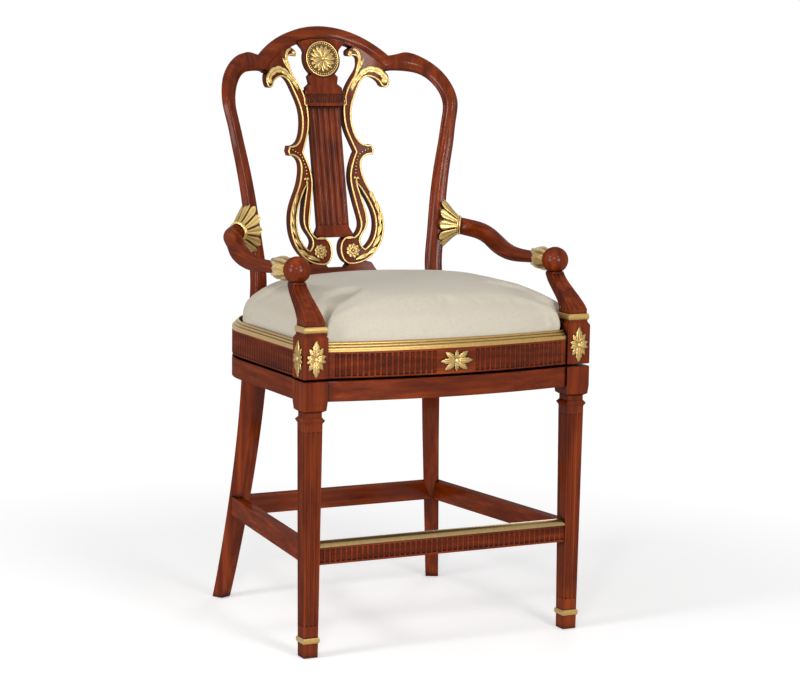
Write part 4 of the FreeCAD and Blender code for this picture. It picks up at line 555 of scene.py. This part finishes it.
def ring_of(seed, count, radius=0.0, lean=0.0, start=0.0, seed_number=1):
    return repeated(seed, FAN, Count=count, Radius=radius, Start=start, Step=2 * math.pi / count, Lean=lean,
                    Falloff=0.0, Seed=seed_number)


def fan_of(seed, count, middle, step, falloff, radius):
    start = middle - step * (count - 1) / 2
    return repeated(seed, FAN, Count=count, Radius=radius, Start=start, Step=step, Lean=0.0, Falloff=falloff,
                    Seed=1)


def back_path(places, lift, closed=False):
    """Path a lift off the back, with the way it faces at each point."""
    mesh = bpy.data.meshes.new("path")
    edges = [(index, index + 1) for index in range(len(places) - 1)]
    if closed:
        edges.append((len(places) - 1, 0))
    mesh.from_pydata([tuple(on_back(*place, lift)) for place in places], edges, [])
    layer = mesh.attributes.new("out", "FLOAT_VECTOR", "POINT")
    layer.data.foreach_set("vector", [value for place in places for value in back_out(*place)])
    return mesh


def smooth_path(points, steps=6):
    """Points of a smooth curve through the given ones."""
    path = []
    ends = [points[0]] + list(points) + [points[-1]]
    for a, b, c, d in zip(ends, ends[1:], ends[2:], ends[3:]):
        for step in range(steps):
            t = step / steps
            path.append(tuple(0.5 * (2 * q + (r - p) * t + (2 * p - 5 * q + 4 * r - s) * t ** 2
                                     + (3 * q - p - 3 * r + s) * t ** 3) for p, q, r, s in zip(a, b, c, d)))
    path.append(tuple(points[-1]))
    return path


# Medallion and flowers

def medallion():
    low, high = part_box("medallion")
    centre = (low + high) / 2
    radius = (high.x - low.x) / 2
    stand = facing(on_back(0, centre.z, 3.5 * MM), back_out(0, centre.z))
    cast = Casting()
    edge = radius - 2.9 * MM
    ground = 1.2 * MM
    shoulder = 2.2 * MM
    rim = [(radius, -1 * MM), (radius, shoulder), (radius - 1.4 * MM, 3.4 * MM), (edge, shoulder), (edge, ground)]
    cast.turned(rim, stand, 56)
    # The sunk ground behind the petals is marked dark: painted shade
    cast.turned([(edge, ground), (0.74 * radius, ground), (0.0, ground)], stand, 40, 0.92)
    raised = lifted(stand, ground)
    cast.add(ring_of(bead_seed(1.95 * MM), 42, 0.865 * radius), raised)
    cast.add(ring_of(petal_seed(0.77 * radius, 8.6 * MM, 2.4 * MM), 16, 0.0, -0.03), raised)
    upper = lifted(raised, 1.2 * MM)
    cast.add(ring_of(petal_seed(0.62 * radius, 9.6 * MM, 2.6 * MM), 8, 0.0, -0.06, math.pi / 16, 2), upper)
    cast.knob(3.8 * MM, 3.2 * MM, lifted(upper, 1.5 * MM), 16)
    cast.piece("medallion_flower", "medallion")


def lyre_flowers():
    cast = Casting()
    for _, sign in SIDES:
        place = sign * FLOWER_OUT, BACK_FOOT_HIGH
        stand = facing(on_back(*place, 0.6 * MM), back_out(*place))
        cast.add(ring_of(petal_seed(15.5 * MM, 10.5 * MM, 2.6 * MM), 9, 0.0, -0.05), stand)
        upper = lifted(stand, 1.4 * MM)
        cast.add(ring_of(petal_seed(10.5 * MM, 7.5 * MM, 2.6 * MM), 9, 0.0, -0.12, math.pi / 9, 3), upper)
        cast.knob(3.0 * MM, 2.6 * MM, lifted(upper, 1.6 * MM), 12)
    cast.piece("lyre_flowers", "lyre_rosettes")


def islands(node):
    """Lowest and highest corner of each separate solid of a node."""
    shape = welded(nodes[node].data)
    left = set(shape.verts)
    boxes = []
    while left:
        found = [left.pop()]
        for vertex in found:
            for edge in vertex.link_edges:
                other = edge.other_vert(vertex)
                if other in left:
                    left.remove(other)
                    found.append(other)
        spread = [[vertex.co[axis] for vertex in found] for axis in range(3)]
        boxes.append((Vector([min(run) for run in spread]), Vector([max(run) for run in spread])))
    shape.free()
    return sorted(boxes, key=lambda box: tuple(box[0]))


def block_ornaments():
    cast = Casting()
    leaf = petal_seed(34 * MM, 17 * MM, 3.6 * MM, LEAF_RIBS, LEAF)
    short = petal_seed(20 * MM, 11 * MM, 2.9 * MM, LEAF_RIBS, LEAF)
    for low, high in islands("block_rosettes"):
        centre = (low + high) / 2
        if high.x - low.x < high.y - low.y:
            out = Vector((math.copysign(1, centre.x), 0, 0))
            centre.x = low.x if centre.x > 0 else high.x
        else:
            out = FRONT
            centre.y = high.y
        stand = facing(centre, out)
        for turn in (0.5, 1.5):
            cast.add(fan_of(leaf, 3, turn * math.pi, 0.6, 0.28, 1 * MM), stand)
        for turn in (0.0, 1.0):
            cast.add(fan_of(short, 2, turn * math.pi, 0.56, 0.0, 1 * MM), lifted(stand, 0.8 * MM))
        cast.knob(4.6 * MM, 2.6 * MM, lifted(stand, 1.3 * MM), 14)
    cast.piece("block_ornaments", "block_rosettes")


# Lift, then turn, length and width of each leaf
RAIL_LEAVES = ((0.9, ((0.0, 34, 13), (0.5, 20, 10), (1.0, 34, 13), (1.5, 20, 10))),
               (0.0, ((0.2, 29, 13), (0.8, 29, 13), (1.2, 29, 13), (1.8, 29, 13))))


def rail_ornament():
    low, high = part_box("rail_rosette")
    centre = Vector(((low.x + high.x) / 2, high.y, (low.z + high.z) / 2))
    stand = facing(centre, FRONT)
    cast = Casting()
    for lift, leaves in RAIL_LEAVES:
        for turn, length, width in leaves:
            seed = petal_seed(length * MM, width * MM, 3.4 * MM, LEAF_RIBS, LEAF)
            cast.add(fan_of(seed, 1, turn * math.pi, 0.1, 0.0, 1 * MM), lifted(stand, lift * MM))
    cast.knob(5.0 * MM, 2.9 * MM, lifted(stand, 1.4 * MM), 16)
    cast.piece("rail_ornament", "rail_rosette")


# Leaves on the arms

def wrapped(cast, surface, count, reach, overlap, rise, curl, ribs, outline, first=0.0):
    """Leaves lying round a flared surface, which takes a share of the length and an angle."""
    for number in range(count):
        middle = 2 * math.pi * (number + first) / count
        half = math.pi / count * overlap
        rows = []
        shade_and_tarnish = []
        for run, wide in outline:
            row = []
            for share, high, mark in ribs:
                angle = middle + half * wide * share
                place, out = surface(run * reach, angle)
                swell = rise * high * (0.4 + 0.6 * math.sin(math.pi * min(run, 0.95))) + curl * run ** 3
                row.append(place + out * swell)
            rows.append(row)
            shade_and_tarnish.append([mark for _, _, mark in ribs])
        outward = surface(0.5, middle)[1]
        cast.sheet(rows, shade_and_tarnish, lambda point: outward)


def flare(start, along, levels):
    """Surface of an oval flare from a start along a direction."""
    along = along.normalized()
    level = along.cross(UP).normalized()
    up = level.cross(along).normalized()
    levels = [(run, *[length * MM for length in lengths]) for run, *lengths in levels]

    def size_at(run):
        for (a, *low), (b, *high) in zip(levels, levels[1:]):
            if run <= b or b == levels[-1][0]:
                share = (max(run, 0.0) - a) / (b - a)
                return [p + (q - p) * share for p, q in zip(low, high)]

    def surface(run, angle):
        far, tall, wide = size_at(run)
        spoke = up * math.cos(angle) * tall + level * math.sin(angle) * wide
        flank = up * math.cos(angle) / tall + level * math.sin(angle) / wide
        ahead_far, ahead_tall, ahead_wide = size_at(run + 0.02)
        slope = ((ahead_tall - tall) + (ahead_wide - wide)) / 2 / max(ahead_far - far, 1e-5)
        out = (flank.normalized() - along * slope).normalized()
        return start + along * far + spoke, out

    return surface


# Levels of a flare: share of its length, then distance, half height and half width in mm
# Sleeves: share of the length and lift in mm
PALMETTE_ROOT = Vector((0.2080, 0.1669, 0.7664))
PALMETTE_COLLAR = Vector((0.2439, 0.1456, 0.7641))
PALMETTE_LEVELS = ((0.0, 0, 19.4, 19.4), (0.35, 12, 28, 22.5), (0.7, 24, 41, 26), (1.0, 33, 50, 28),
                   (1.2, 38, 54, 29))
PALMETTE_SLEEVE = ((0.0, -0.4), (0.3, -0.6), (0.55, -0.8), (0.8, -1.2))
PALMETTE_BAND = ((17, -2), (19.8, -1.9), (21.4, 0), (19.8, 1.9), (17, 2))
PALMETTE_LEAF = ((0.0, 0.8), (0.2, 0.82), (0.45, 0.9), (0.62, 1.0), (0.76, 0.96), (0.87, 0.76), (0.95, 0.46),
                 (1.0, 0.08))
PALMETTE_RIBS = ((-1.0, 0.0, 0.7), (-0.8, 1.0, 0.0), (-0.5, 0.45, 0.1), (-0.12, 0.75, 0.0), (0.0, 0.3, 0.3),
                 (0.12, 0.75, 0.0), (0.5, 0.45, 0.1), (0.8, 1.0, 0.0), (1.0, 0.0, 0.7))
KNOB = Vector((0.2780, -0.2073, 0.7250))
ARM_END = Vector((0.2831, -0.1220, 0.7218))
CUP_LEVELS = ((0.0, 22, 16.5, 16.5), (0.25, 36, 20, 20), (0.5, 52, 20.3, 20.3), (0.75, 72, 17.4, 17.4),
              (1.0, 92, 13.6, 13.6), (1.2, 104, 13.4, 13.4))
CUP_SLEEVE = ((0.0, -1.0), (0.25, -1.0), (0.5, -1.2), (0.7, -2.4), (0.78, -5.0))
CUP_LEAF = ((0.0, 1.0), (0.15, 1.06), (0.28, 1.0), (0.4, 1.04), (0.52, 0.9), (0.62, 0.9), (0.72, 0.7), (0.8, 0.66),
            (0.9, 0.36), (1.0, 0.06))
CUP_RIBS = ((-1.0, 0.0, 0.95), (-0.8, 0.9, 0.0), (-0.6, 0.25, 0.9), (-0.4, 1.0, 0.0), (-0.2, 0.25, 0.9),
            (0.0, 1.1, 0.0), (0.2, 0.25, 0.9), (0.4, 1.0, 0.0), (0.6, 0.25, 0.9), (0.8, 0.9, 0.0), (1.0, 0.0, 0.95))
SLEEVE_STEPS = 32


def sided(point, sign):
    """A point of the right side, on either side."""
    return Vector((sign * point.x, point.y, point.z))


def ringed(cast, surface, runs, mark, end_mark=None):
    """Sleeve of a flared surface, with a flat end where a mark for it is given; the marks darken the sleeve under
    the leaves as painted shade.
    """
    rows = []
    for run, lift in runs:
        spots = [surface(run, 2 * math.pi * step / SLEEVE_STEPS) for step in range(SLEEVE_STEPS)]
        rows.append([place + out * lift * MM for place, out in spots])
    middle = [sum(row, Vector()) / len(row) for row in rows]
    centre = sum(middle, Vector()) / len(middle)
    marks = [[mark] * SLEEVE_STEPS for _ in rows]
    cast.sheet(rows, marks, lambda point: point - centre, closed=True)
    if end_mark is not None:
        end = [rows[-1], [middle[-1]] * SLEEVE_STEPS]
        end_marks = [[end_mark] * SLEEVE_STEPS for _ in end]
        cast.sheet(end, end_marks, lambda point: middle[-1] - middle[0], closed=True)


def palmettes():
    for side, sign in SIDES:
        root, collar = sided(PALMETTE_ROOT, sign), sided(PALMETTE_COLLAR, sign)
        along = (root - collar).normalized()
        start = root - along * 44 * MM
        surface = flare(start, along, PALMETTE_LEVELS)
        cast = Casting()
        # The sleeve under the leaves is marked dark, and its end less: painted shade
        ringed(cast, surface, PALMETTE_SLEEVE, 0.95, 0.3)
        wrapped(cast, surface, 12, 1.12, 0.92, 3.0 * MM, 2.2 * MM, PALMETTE_RIBS, PALMETTE_LEAF)
        for run in (-5.5, -1.5):
            stand = facing(start + along * run * MM, along)
            cast.turned([(radius * MM, high * MM) for radius, high in PALMETTE_BAND], stand, SLEEVE_STEPS)
        cast.piece(f"arm_palmette_leaves_{side}", f"arm_palmette_{side}")


def cups():
    for side, sign in SIDES:
        knob, end = sided(KNOB, sign), sided(ARM_END, sign)
        along = (end - knob).normalized()
        surface = flare(knob, along, CUP_LEVELS)
        cast = Casting()
        # The sleeve under the leaves is marked dark: painted shade
        ringed(cast, surface, CUP_SLEEVE, 0.85)
        wrapped(cast, surface, 2, 1.1, 0.92, 3.6 * MM, 2.4 * MM, CUP_RIBS, CUP_LEAF)
        wrapped(cast, surface, 2, 0.66, 0.34, 2.2 * MM, 1.5 * MM, RIBS, PETAL, 0.5)
        cast.piece(f"arm_cup_leaves_{side}", f"arm_cup_{side}")


# Gilding of the lyre

NEAR_CREST = 1.06
AT_CREST = 1.112
RIM_INSET = 1.9 * MM
RIM_SPACING = 2.4 * MM
RIM_RADIUS = 2.0 * MM
RELIEF = 0.6 * MM


def rim_paths(node):
    """Paths just inside the edges of a carved board's front, left out where it meets the crest."""
    shape = welded(nodes[node].data)
    shape.normal_update()
    steps = {}
    for edge in shape.edges:
        if len(edge.link_faces) != 2:
            continue
        fronts = [face for face in edge.link_faces if face.normal.y < -0.5]
        walls = [face for face in edge.link_faces if abs(face.normal.y) < 0.5]
        if len(fronts) != 1 or len(walls) != 1:
            continue
        outward = walls[0].normal
        middle = (edge.verts[0].co + edge.verts[1].co) / 2
        rising = outward.z * 0.8 + abs(outward.x) * math.copysign(0.6, outward.x * middle.x)
        if middle.z > AT_CREST or (middle.z > NEAR_CREST and rising > 0.75):
            continue
        for vertex, other in (edge.verts, reversed(edge.verts)):
            steps.setdefault(vertex, []).append((other, outward))
    paths = []
    while steps:
        ends = [vertex for vertex, links in steps.items() if len(links) == 1]
        start = min(ends or steps, key=lambda vertex: tuple(vertex.co))
        chain = [start]
        while True:
            onward = [other for other, _ in steps[chain[-1]] if other not in chain[-2:] and other in steps]
            fresh = [other for other in onward if other not in chain]
            if not fresh:
                break
            chain.append(fresh[0])
        closed = not ends and len(chain) > 2
        points = []
        for vertex in chain:
            inward = sum((out for _, out in steps[vertex]), Vector()) * -1
            inward.y = 0
            inward.normalize()
            points.append((vertex.co.x + inward.x * RIM_INSET, vertex.co.z + inward.z * RIM_INSET))
        for vertex in chain:
            steps.pop(vertex)
        if len(points) > 3:
            paths.append((points, closed))
    shape.free()
    return paths


def thinned(points, spacing):
    """Points of a path at least a spacing apart."""
    kept = [points[0]]
    for point in points[1:]:
        if math.dist(point, kept[-1]) >= spacing:
            kept.append(point)
    return kept


def laid_leaf(cast, path, widths, sign, rise, lobes, ribs=BROAD_RIBS):
    """A lobed leaf on the face of the lyre, along a path in lyre hundredths with half widths in mm."""
    track = [lyre_place(u, v, sign) for u, v in smooth_path(path)]
    spread = [wide for wide, in smooth_path([(wide,) for wide in widths])]
    rows = []
    shade_and_tarnish = []
    for index, (x, high) in enumerate(track):
        before = track[max(index - 1, 0)]
        after = track[min(index + 1, len(track) - 1)]
        run = Vector((after[0] - before[0], after[1] - before[1])).normalized()
        lobe = abs(math.sin(math.pi * lobes * index / (len(track) - 1))) ** 0.6
        half = max(spread[index] * (0.74 + 0.26 * lobe), 0.2) * MM
        row = []
        for share, swell, _ in ribs:
            at = (x - run.y * half * share, high + run.x * half * share)
            row.append(on_back(*at, RELIEF + rise * swell * min(1.0, half / (4 * MM)) * (0.7 + 0.3 * lobe)))
        rows.append(row)
        shade_and_tarnish.append([mark for _, _, mark in ribs])
    cast.sheet(rows, shade_and_tarnish, lambda point: back_out(point.x, point.z))


# Paths in hundredths of the lyre, half widths in mm
HOOK_PATH = ((43.0, 81.9), (48.0, 85.2), (53.0, 88.6), (57.0, 91.8), (59.8, 94.6), (60.0, 97.2), (56.8, 99.6),
             (51.0, 100.3))
HOOK_WIDE = (1.0, 2.6, 3.8, 4.2, 4.0, 3.6, 3.2, 2.4)
SCROLL_PATH = ((44.0, 81.0), (50.0, 84.4), (56.0, 87.0), (62.5, 89.2), (70.0, 90.6), (78.0, 90.9), (86.5, 90.0),
               (93.5, 88.0), (96.6, 86.0))
SCROLL_WIDE = (1.0, 3.8, 5.4, 7.0, 7.8, 8.2, 8.2, 7.4, 5.4)
LOBE_PATH = ((55.5, 90.2), (59.5, 92.2), (63.5, 94.3), (66.8, 96.2))
LOBE_WIDE = (2.0, 3.6, 3.4, 0.4)
SCROLL_ENDS = ((46.5, 98.6, 5.2), (94.2, 85.8, 8.0))
DOT_PATH = ((66.5, 54.3), (60.8, 53.5), (56.3, 52.7), (51.4, 52.0), (46.6, 50.4), (44.6, 48.8), (42.8, 47.2),
            (41.4, 45.6), (40.7, 44.0), (40.3, 42.4))
KNOT_PATHS = (((40.9, 39.5), (38.9, 40.3), (36.7, 39.8)), ((40.9, 39.5), (43.0, 40.2), (45.2, 39.7)),
              ((40.9, 39.7), (40.5, 38.4), (40.3, 36.8)))
KNOT_WIDE = (0.8, 2.6, 0.8)
CHAIN_PATH = ((30.0, 2.2), (40.0, 2.9), (50.0, 5.0), (59.0, 8.4), (66.0, 13.0), (70.0, 18.4), (69.6, 23.6),
              (65.0, 28.4))


def laid_trail(cast, seed, way, sign, spacing, last):
    """Copies of a seed along a path on the lyre, growing or shrinking to their last size."""
    piece = bpy.data.objects.new("trail piece", seed)
    scene.collection.objects.link(piece)
    path = back_path([lyre_place(u, v, sign) for u, v in smooth_path(way)], RELIEF)
    made = repeated(path, TRAIL, Piece=piece, Spacing=spacing, First=1.0, Last=last)
    cast.add(made, Matrix.Identity(4))
    bpy.data.objects.remove(piece)


def lyre_gilding():
    for side, sign in SIDES:
        cast = Casting()
        for points, closed in rim_paths(f"lyre_{side}"):
            places = thinned(points, RIM_SPACING)
            if len(places) < 4:
                continue
            path = back_path(places, 0.5 * MM, closed)
            cast.add(repeated(path, LINE, Radius=RIM_RADIUS), Matrix.Identity(4))
        laid_leaf(cast, HOOK_PATH, HOOK_WIDE, sign, 2.8 * MM, 3)
        laid_leaf(cast, SCROLL_PATH, SCROLL_WIDE, sign, 3.4 * MM, 6)
        laid_leaf(cast, LOBE_PATH, LOBE_WIDE, sign, 2.8 * MM, 2)
        for path in KNOT_PATHS:
            laid_leaf(cast, path, KNOT_WIDE, sign, 2.4 * MM, 1, RIBS)
        for u, v, radius in SCROLL_ENDS:
            place = lyre_place(u, v, sign)
            cast.knob(radius * MM, 4.6 * MM, facing(on_back(*place), back_out(*place)), 14)
        laid_trail(cast, bead_seed(1.9 * MM), DOT_PATH, sign, 6.4 * MM, 1.0)
        laid_trail(cast, petal_seed(31 * MM, 11 * MM, 3.4 * MM), CHAIN_PATH, sign, 21 * MM, 0.85)
        cast.piece(f"lyre_gilding_{side}")


# Cushion

VOXEL = 0.006
HELD_HIGH = 0.018
MOST_MOVED = 0.006
FILL_FRAMES = 20
FILLING = {"quality": 6, "mass": 0.3, "tension_stiffness": 22, "compression_stiffness": 22, "shear_stiffness": 12,
           "bending_stiffness": 1.0, "use_pressure": True, "uniform_pressure_force": 4}


def cushion():
    """Upholstered seat, filled out from the plain form."""
    made = bpy.data.objects.new("upholstered_seat", nodes["seat_cushion"].data.copy())
    scene.collection.objects.link(made)
    shape = welded(made.data)
    shape.to_mesh(made.data)
    shape.free()
    bpy.context.view_layer.objects.active = made
    made.data.remesh_voxel_size = VOXEL
    made.data.use_remesh_fix_poles = False
    bpy.ops.object.voxel_remesh()
    fill_out(made)
    made.data.polygons.foreach_set("use_smooth", [True] * len(made.data.polygons))
    made.data.materials.clear()
    made.data.materials.append(linen)
    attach(made, "seat")
    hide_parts("seat_cushion")


def fill_out(made):
    """Pressure from inside, with the lower edge held and the movement kept small."""
    rest = [vertex.co.copy() for vertex in made.data.vertices]
    low = min(point.z for point in rest)
    held = made.vertex_groups.new(name="held")
    held.add([index for index, point in enumerate(rest) if point.z < low + HELD_HIGH], 1.0, "REPLACE")
    cloth = made.modifiers.new("filling", "CLOTH")
    for key, value in FILLING.items():
        setattr(cloth.settings, key, value)
    cloth.settings.vertex_group_mass = "held"
    cloth.settings.effector_weights.gravity = 0
    cloth.point_cache.frame_start = 1
    cloth.point_cache.frame_end = FILL_FRAMES
    for number in range(1, FILL_FRAMES + 1):
        scene.frame_set(number)
    graph = bpy.context.evaluated_depsgraph_get()
    settled = [vertex.co.copy() for vertex in made.evaluated_get(graph).data.vertices]
    made.modifiers.remove(cloth)
    scene.frame_set(1)
    for vertex, start, end in zip(made.data.vertices, rest, settled):
        move = end - start
        vertex.co = start + move * min(1.0, MOST_MOVED / max(move.length, 1e-9))
    soften = made.modifiers.new("soften", "SUBSURF")
    soften.levels = 1
    soften.render_levels = 1
    finer = bpy.data.meshes.new_from_object(made.evaluated_get(bpy.context.evaluated_depsgraph_get()))
    made.modifiers.remove(soften)
    made.vertex_groups.clear()
    made.data = finer


medallion()
lyre_flowers()
block_ornaments()
rail_ornament()
palmettes()
cups()
lyre_gilding()
cushion()


# Floor, light and camera

FLOOR_HALF = 40
FLOOR_NEAR = 0.55
FLOOR_FAR = 1.7
FLOOR_GLOW = 0.37
FLOOR_GLOW_FAR = 0.65
SKY = 0.32
# Place, aim, width and power
LAMPS = {
    "front light": ((0.5, -5.2, 1.2), (0, 0, 0.6), 2.0, 122),
    "left light": ((-3.6, -0.9, 1.0), (0, 0, 0.7), 1.5, 44),
    "high front light": ((0.1, -2.9, 2.4), (0, 0, 0.9), 0.6, 15),
    "high left light": ((-2.6, -0.5, 2.3), (0, 0, 0.9), 0.6, 17),
    "near light": ((-1.75, -2.8, 1.9), (0, 0, 0.9), 0.4, 17),
    "rear light": ((2.6, 2.8, 1.7), (0, 0, 0.7), 1.4, 16),
}
CAMERA_PLACE = (-2.2320, -4.5205, 1.2494)
CAMERA_TURN = (26.7227, -7.9279, 0.8311)
CAMERA_LENS = 114.65


def white_for_camera(tree, lit, strength):
    """Strength seen directly or in a reflection, and the plain level of light elsewhere."""
    path = tree.nodes.new("ShaderNodeLightPath")
    seen = calc(tree, "MAXIMUM", path.outputs["Is Camera Ray"], path.outputs["Is Glossy Ray"])
    seen = calc(tree, "MAXIMUM", seen, path.outputs["Is Transmission Ray"])
    return calc(tree, "ADD", calc(tree, "MULTIPLY", seen, strength - lit), lit)


def floor():
    mesh = bpy.data.meshes.new("floor")
    corners = [(x * FLOOR_HALF, y * FLOOR_HALF, 0) for x, y in ((-1, -1), (1, -1), (1, 1), (-1, 1))]
    mesh.from_pydata(corners, [], [(0, 1, 2, 3)])
    made = bpy.data.objects.new("floor", mesh)
    scene.collection.objects.link(made)
    material, tree, shader = new_material("pale floor")
    place = tree.nodes.new("ShaderNodeTexCoord")
    reach = tree.nodes.new("ShaderNodeVectorMath")
    reach.operation = "LENGTH"
    tree.links.new(place.outputs["Object"], reach.inputs[0])
    far = tree.nodes.new("ShaderNodeMapRange")
    far.interpolation_type = "SMOOTHSTEP"
    far.inputs["From Min"].default_value = FLOOR_NEAR
    far.inputs["From Max"].default_value = FLOOR_FAR
    tree.links.new(reach.outputs["Value"], far.inputs["Value"])
    colour = mixed(tree, far.outputs[0], (0.9, 0.9, 0.9), BLACK)
    tree.links.new(colour, shader.inputs["Base Color"])
    shader.inputs["Roughness"].default_value = 0.9
    shader.inputs["Specular IOR Level"].default_value = 0.0
    shader.inputs["Emission Color"].default_value = (1, 1, 1, 1)
    glow = calc(tree, "ADD", calc(tree, "MULTIPLY", far.outputs[0], FLOOR_GLOW_FAR), FLOOR_GLOW)
    seen = calc(tree, "MULTIPLY", white_for_camera(tree, 0.0, 1.0), glow)
    tree.links.new(seen, shader.inputs["Emission Strength"])
    mesh.materials.append(material)


def lamp(name, place, aim, width, power):
    data = bpy.data.lights.new(name, "AREA")
    data.shape = "DISK"
    data.size = width
    data.energy = power
    made = bpy.data.objects.new(name, data)
    made.location = place
    made.rotation_euler = (Vector(aim) - Vector(place)).to_track_quat("-Z", "Y").to_euler()
    made.visible_camera = False
    scene.collection.objects.link(made)


def studio():
    world = bpy.data.worlds.new("white studio")
    world.use_nodes = True
    scene.world = world
    sky = world.node_tree.nodes["Background"]
    sky.inputs["Color"].default_value = (1, 1, 1, 1)
    world.node_tree.links.new(white_for_camera(world.node_tree, SKY, 1.0), sky.inputs["Strength"])
    for name, settings in LAMPS.items():
        lamp(name, *settings)


def camera():
    """The camera of the photograph, fitted to the chair."""
    yaw, pitch, roll = [math.radians(angle) for angle in CAMERA_TURN]
    ahead = Vector((math.sin(yaw) * math.cos(pitch), math.cos(yaw) * math.cos(pitch), math.sin(pitch)))
    right = Vector((math.cos(yaw), -math.sin(yaw), 0))
    up = right.cross(ahead)
    right, up = right * math.cos(roll) + up * math.sin(roll), up * math.cos(roll) - right * math.sin(roll)
    data = bpy.data.cameras.new("camera")
    data.lens = CAMERA_LENS
    data.sensor_width = 36
    data.clip_end = 200
    made = bpy.data.objects.new("camera", data)
    turn = Matrix((right, up, -ahead)).transposed().to_4x4()
    made.matrix_world = Matrix.Translation(CAMERA_PLACE) @ turn
    scene.collection.objects.link(made)
    scene.camera = made


floor()
studio()
camera()
